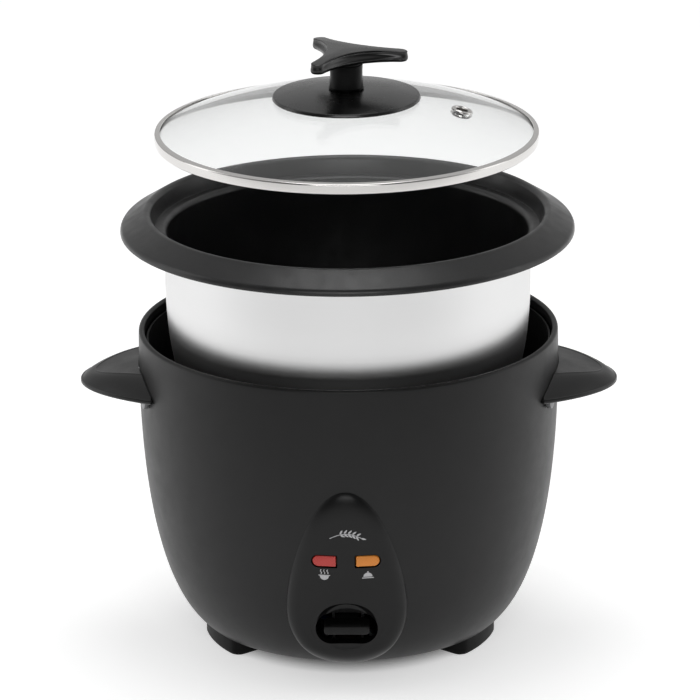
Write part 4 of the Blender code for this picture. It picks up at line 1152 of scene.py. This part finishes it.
def make_star():
    # Height over the star's underside, droop at its tips, tip distance, tip radius and waist, in mm.
    rows = [
        (0, 0, 28.6, 3.0, 9.8),
        (0.15, 0, 28.9, 3.25, 10.3),
        (0.55, 0, 29.1, 3.5, 11.0),
        (1.3, 0.05, 29.2, 3.7, 11.7),
        (2.1, 0.2, 29.2, 3.75, 11.9),
        (2.8, 0.45, 29.2, 3.72, 11.7),
        (3.4, 0.7, 29.2, 3.66, 11.25),
        (4.0, 0.95, 29.2, 3.58, 10.5),
        (4.7, 1.2, 29.2, 3.5, 9.95),
        (5.5, 1.5, 29.2, 3.42, 9.7),
        (6.3, 1.7, 29.2, 3.4, 9.75),
        (6.85, 1.8, 29.2, 3.46, 10.05),
        (7.08, 1.8, 29.1, 3.3, 9.9),
    ]
    bottom = STAR_TOP - STAR_HEIGHT
    rings = [star_ring(bottom + rise * MM, *row) for rise, *row in rows]
    for share in (0.985, 0.96, 0.9, 0.8, 0.65, 0.5, 0.35, 0.2, 0.08):
        height = STAR_TOP - 0.28 * MM * share**2
        rings.append(star_ring(height, 1.8, 29.1, 3.2, 9.85, share))
    show(skinned("knob_star", rings), "knob_handle", look="gloss_plastic", crease=math.radians(40))


def make_stem():
    rim = STEM_RADIUS / MM
    top = (STAR_TOP - STAR_HEIGHT - GLASS_TOP) / MM
    outline = [
        (3.8, 3.3),
        (rim - 0.3, 3.3),
        (rim, 3.6),
        (rim, 3.9),
        (rim - 0.5, 4.1),
        *bezier([(rim - 0.4, 4.3), (8.7, 7.3), (8.6, 12.3), (8.9, top - 1.6)], 16),
        (8.2, top - 1.5),
        (8.2, top - 0.9),
        (8.5, top - 0.8),
        (8.5, top + 1.2),
        (3.8, top + 1.2),
    ]
    stem = turned("knob_stem", lifted(outline, GLASS_TOP), 96)
    # The stem takes a darker copy of the knob's plastic: painted shade.
    show(stem, "knob_handle", look="deep_plastic")


def make_screw_and_seal():
    under = GLASS_TOP - GLASS_SHEET
    tip = GLASS_SHEET / MM + 10.6
    outline = [
        (0, tip),
        (3.2, tip - 0.6),
        (3.2, -1.9),
        (6.6, -1.9),
        (7.0, -2.2),
        *arc((5.2, -3.0), 1.6, 0, -88, 8),
        (0, -4.6),
    ]
    screw = turned("knob_bolt", lifted(outline, under), SMALL_STEPS)
    cross = []
    for x, y in ((3.4 * MM, 0.6 * MM), (0.6 * MM, 3.4 * MM)):
        cross.append(block("cross", (-x, -y, under - 6 * MM), (x, y, under - 3.6 * MM)))
    show(combine(screw, cross), "knob_screw")
    seal = [(4.0, -GAP / MM), (12.0, -0.65), (12.0, -1.35), (11.7, -1.6), (4.0, -1.6)]
    show(turned("knob_washer", lifted(seal, under), 96), "knob_seal")


# ---- springs


def make_spring(name, turns):
    """A coil spring of that many turns, filling its CAD node's box."""
    low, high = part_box(name)
    radius = (high.y - low.y) / 2 - SPRING_WIRE
    height = high.z - low.z
    up = Vector((0, 0, 1))
    rings = []
    steps = turns * 36
    for i in range(steps + 1):
        angle = 2 * math.pi * i * turns / steps
        out = Vector((math.cos(angle), math.sin(angle), 0))
        centre = out * radius + up * (low.z + SPRING_WIRE + (height - 2 * SPRING_WIRE) * i / steps)
        ring = []
        for turn in angles(10):
            ring.append(centre + SPRING_WIRE * (math.cos(turn) * out + math.sin(turn) * up))
        rings.append(ring)
    spring = skinned(name + "_coil", rings)
    show(spring, name, look="zinc_steel")
    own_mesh(spring)


# ---- stage, light and camera


def make_stage():
    """A pale floor whose emission is painted light: it glows less towards the camera, and a painted
    shadow takes the glow away under the cooker.
    """
    mesh = bpy.data.meshes.new("floor")
    corners = [(x * FLOOR_HALF, y * FLOOR_HALF, 0) for x, y in ((-1, -1), (1, -1), (1, 1), (-1, 1))]
    mesh.from_pydata(corners, [], [(0, 1, 2, 3)])
    floor = linked("floor", mesh)
    look = Look("pale_floor", (0.92, 0.92, 0.92), 0.9, Emission_Color=(1, 1, 1, 1))
    look.feed("Base Color", look.between(look.noise(3.0), (0.91, 0.91, 0.91), (0.93, 0.93, 0.93)))
    # Painted light: the floor's emission fades towards the camera, and the shadow mask paints a shadow
    # under the cooker.
    glow = look.fit(look.axes()[1], 0.14, 0.47, -0.9, -0.15)
    shadow = look.fit(look.reach_squared(), 0.0, 1.0, 0.0030, 0.0058)
    look.feed("Emission Strength", look.maths("MULTIPLY", glow, shadow))
    mesh.materials.append(look.material)


def make_light():
    """A pale studio, dim in front of the cooker, with the soft boxes of SOFT_BOXES."""
    world = bpy.data.worlds.new("studio")
    bpy.context.scene.world = world
    world.use_nodes = True
    tree = world.node_tree
    back = tree.nodes["Background"]
    back.inputs[0].default_value = (1, 1, 1, 1)
    way = tree.nodes.new("ShaderNodeSeparateXYZ")
    tree.links.new(tree.nodes.new("ShaderNodeTexCoord").outputs["Generated"], way.inputs[0])
    fade = tree.nodes.new("ShaderNodeMapRange")
    fade.interpolation_type = "SMOOTHSTEP"
    for socket, value in zip(fade.inputs[1:5], (-0.8, 0.2, 0.09, 0.55)):
        socket.default_value = value
    tree.links.new(way.outputs[1], fade.inputs[0])
    tree.links.new(fade.outputs[0], back.inputs[1])
    for name, (place, size, power) in SOFT_BOXES.items():
        light = bpy.data.lights.new(name, "AREA")
        light.shape = "RECTANGLE"
        light.size, light.size_y = size
        light.energy = power
        box = linked(name, light)
        box.location = place
        box.rotation_euler = (Vector(place) - Vector(LIGHT_AIM)).to_track_quat("Z", "Y").to_euler()
        box.visible_camera = False


def make_camera():
    """A long lens in front of the cooker, about 18 degrees above it, for a square picture."""
    image_size, focal_pixels = 700, 5700.0
    azimuth, elevation, roll = math.radians(1.15), math.radians(18.25), math.radians(0.47)
    distance = 3.078
    target = Vector((0.0008, 0.0, 0.1574))
    data = bpy.data.cameras.new("camera")
    data.sensor_width = 36.0
    data.lens = data.sensor_width * focal_pixels / image_size
    data.clip_start, data.clip_end = 0.1, 100.0
    camera = linked("camera", data)
    flat = math.cos(elevation)
    away = Vector((math.sin(azimuth) * flat, -math.cos(azimuth) * flat, math.sin(elevation)))
    camera.location = target + away * distance
    turn = away.to_track_quat("Z", "Y").to_matrix() @ Matrix.Rotation(-roll, 3, "Z")
    camera.rotation_euler = turn.to_euler()
    bpy.context.scene.camera = camera


def clear_defaults():
    for name in ("Cube", "Light", "Camera"):
        if name in bpy.data.objects:
            bpy.data.objects.remove(bpy.data.objects[name])


def main():
    clear_defaults()
    make_camera()
    make_housing()
    make_liner()
    make_base()
    for name, angle in FEET.items():
        make_foot(name, math.radians(angle))
    make_panel()
    make_lenses()
    make_tab()
    make_marks()
    for side_name, side in (("left", -1), ("right", 1)):
        make_handle(side_name, side)
        make_bracket(side_name, side)
    make_inlet()
    make_pot()
    make_glass()
    make_eyelet()
    make_band()
    make_disc()
    make_star()
    make_stem()
    make_screw_and_seal()
    make_spring("sensor_spring", 3)
    make_spring("release_spring", 4)
    for name, node in frame["nodes"].items():
        node.data.materials.clear()
        node.data.materials.append(LOOKS[SLOT_OF[name]])
    make_stage()
    make_light()
    settings = bpy.context.scene.view_settings
    settings.view_transform = "Standard"
    settings.look = "None"


main()
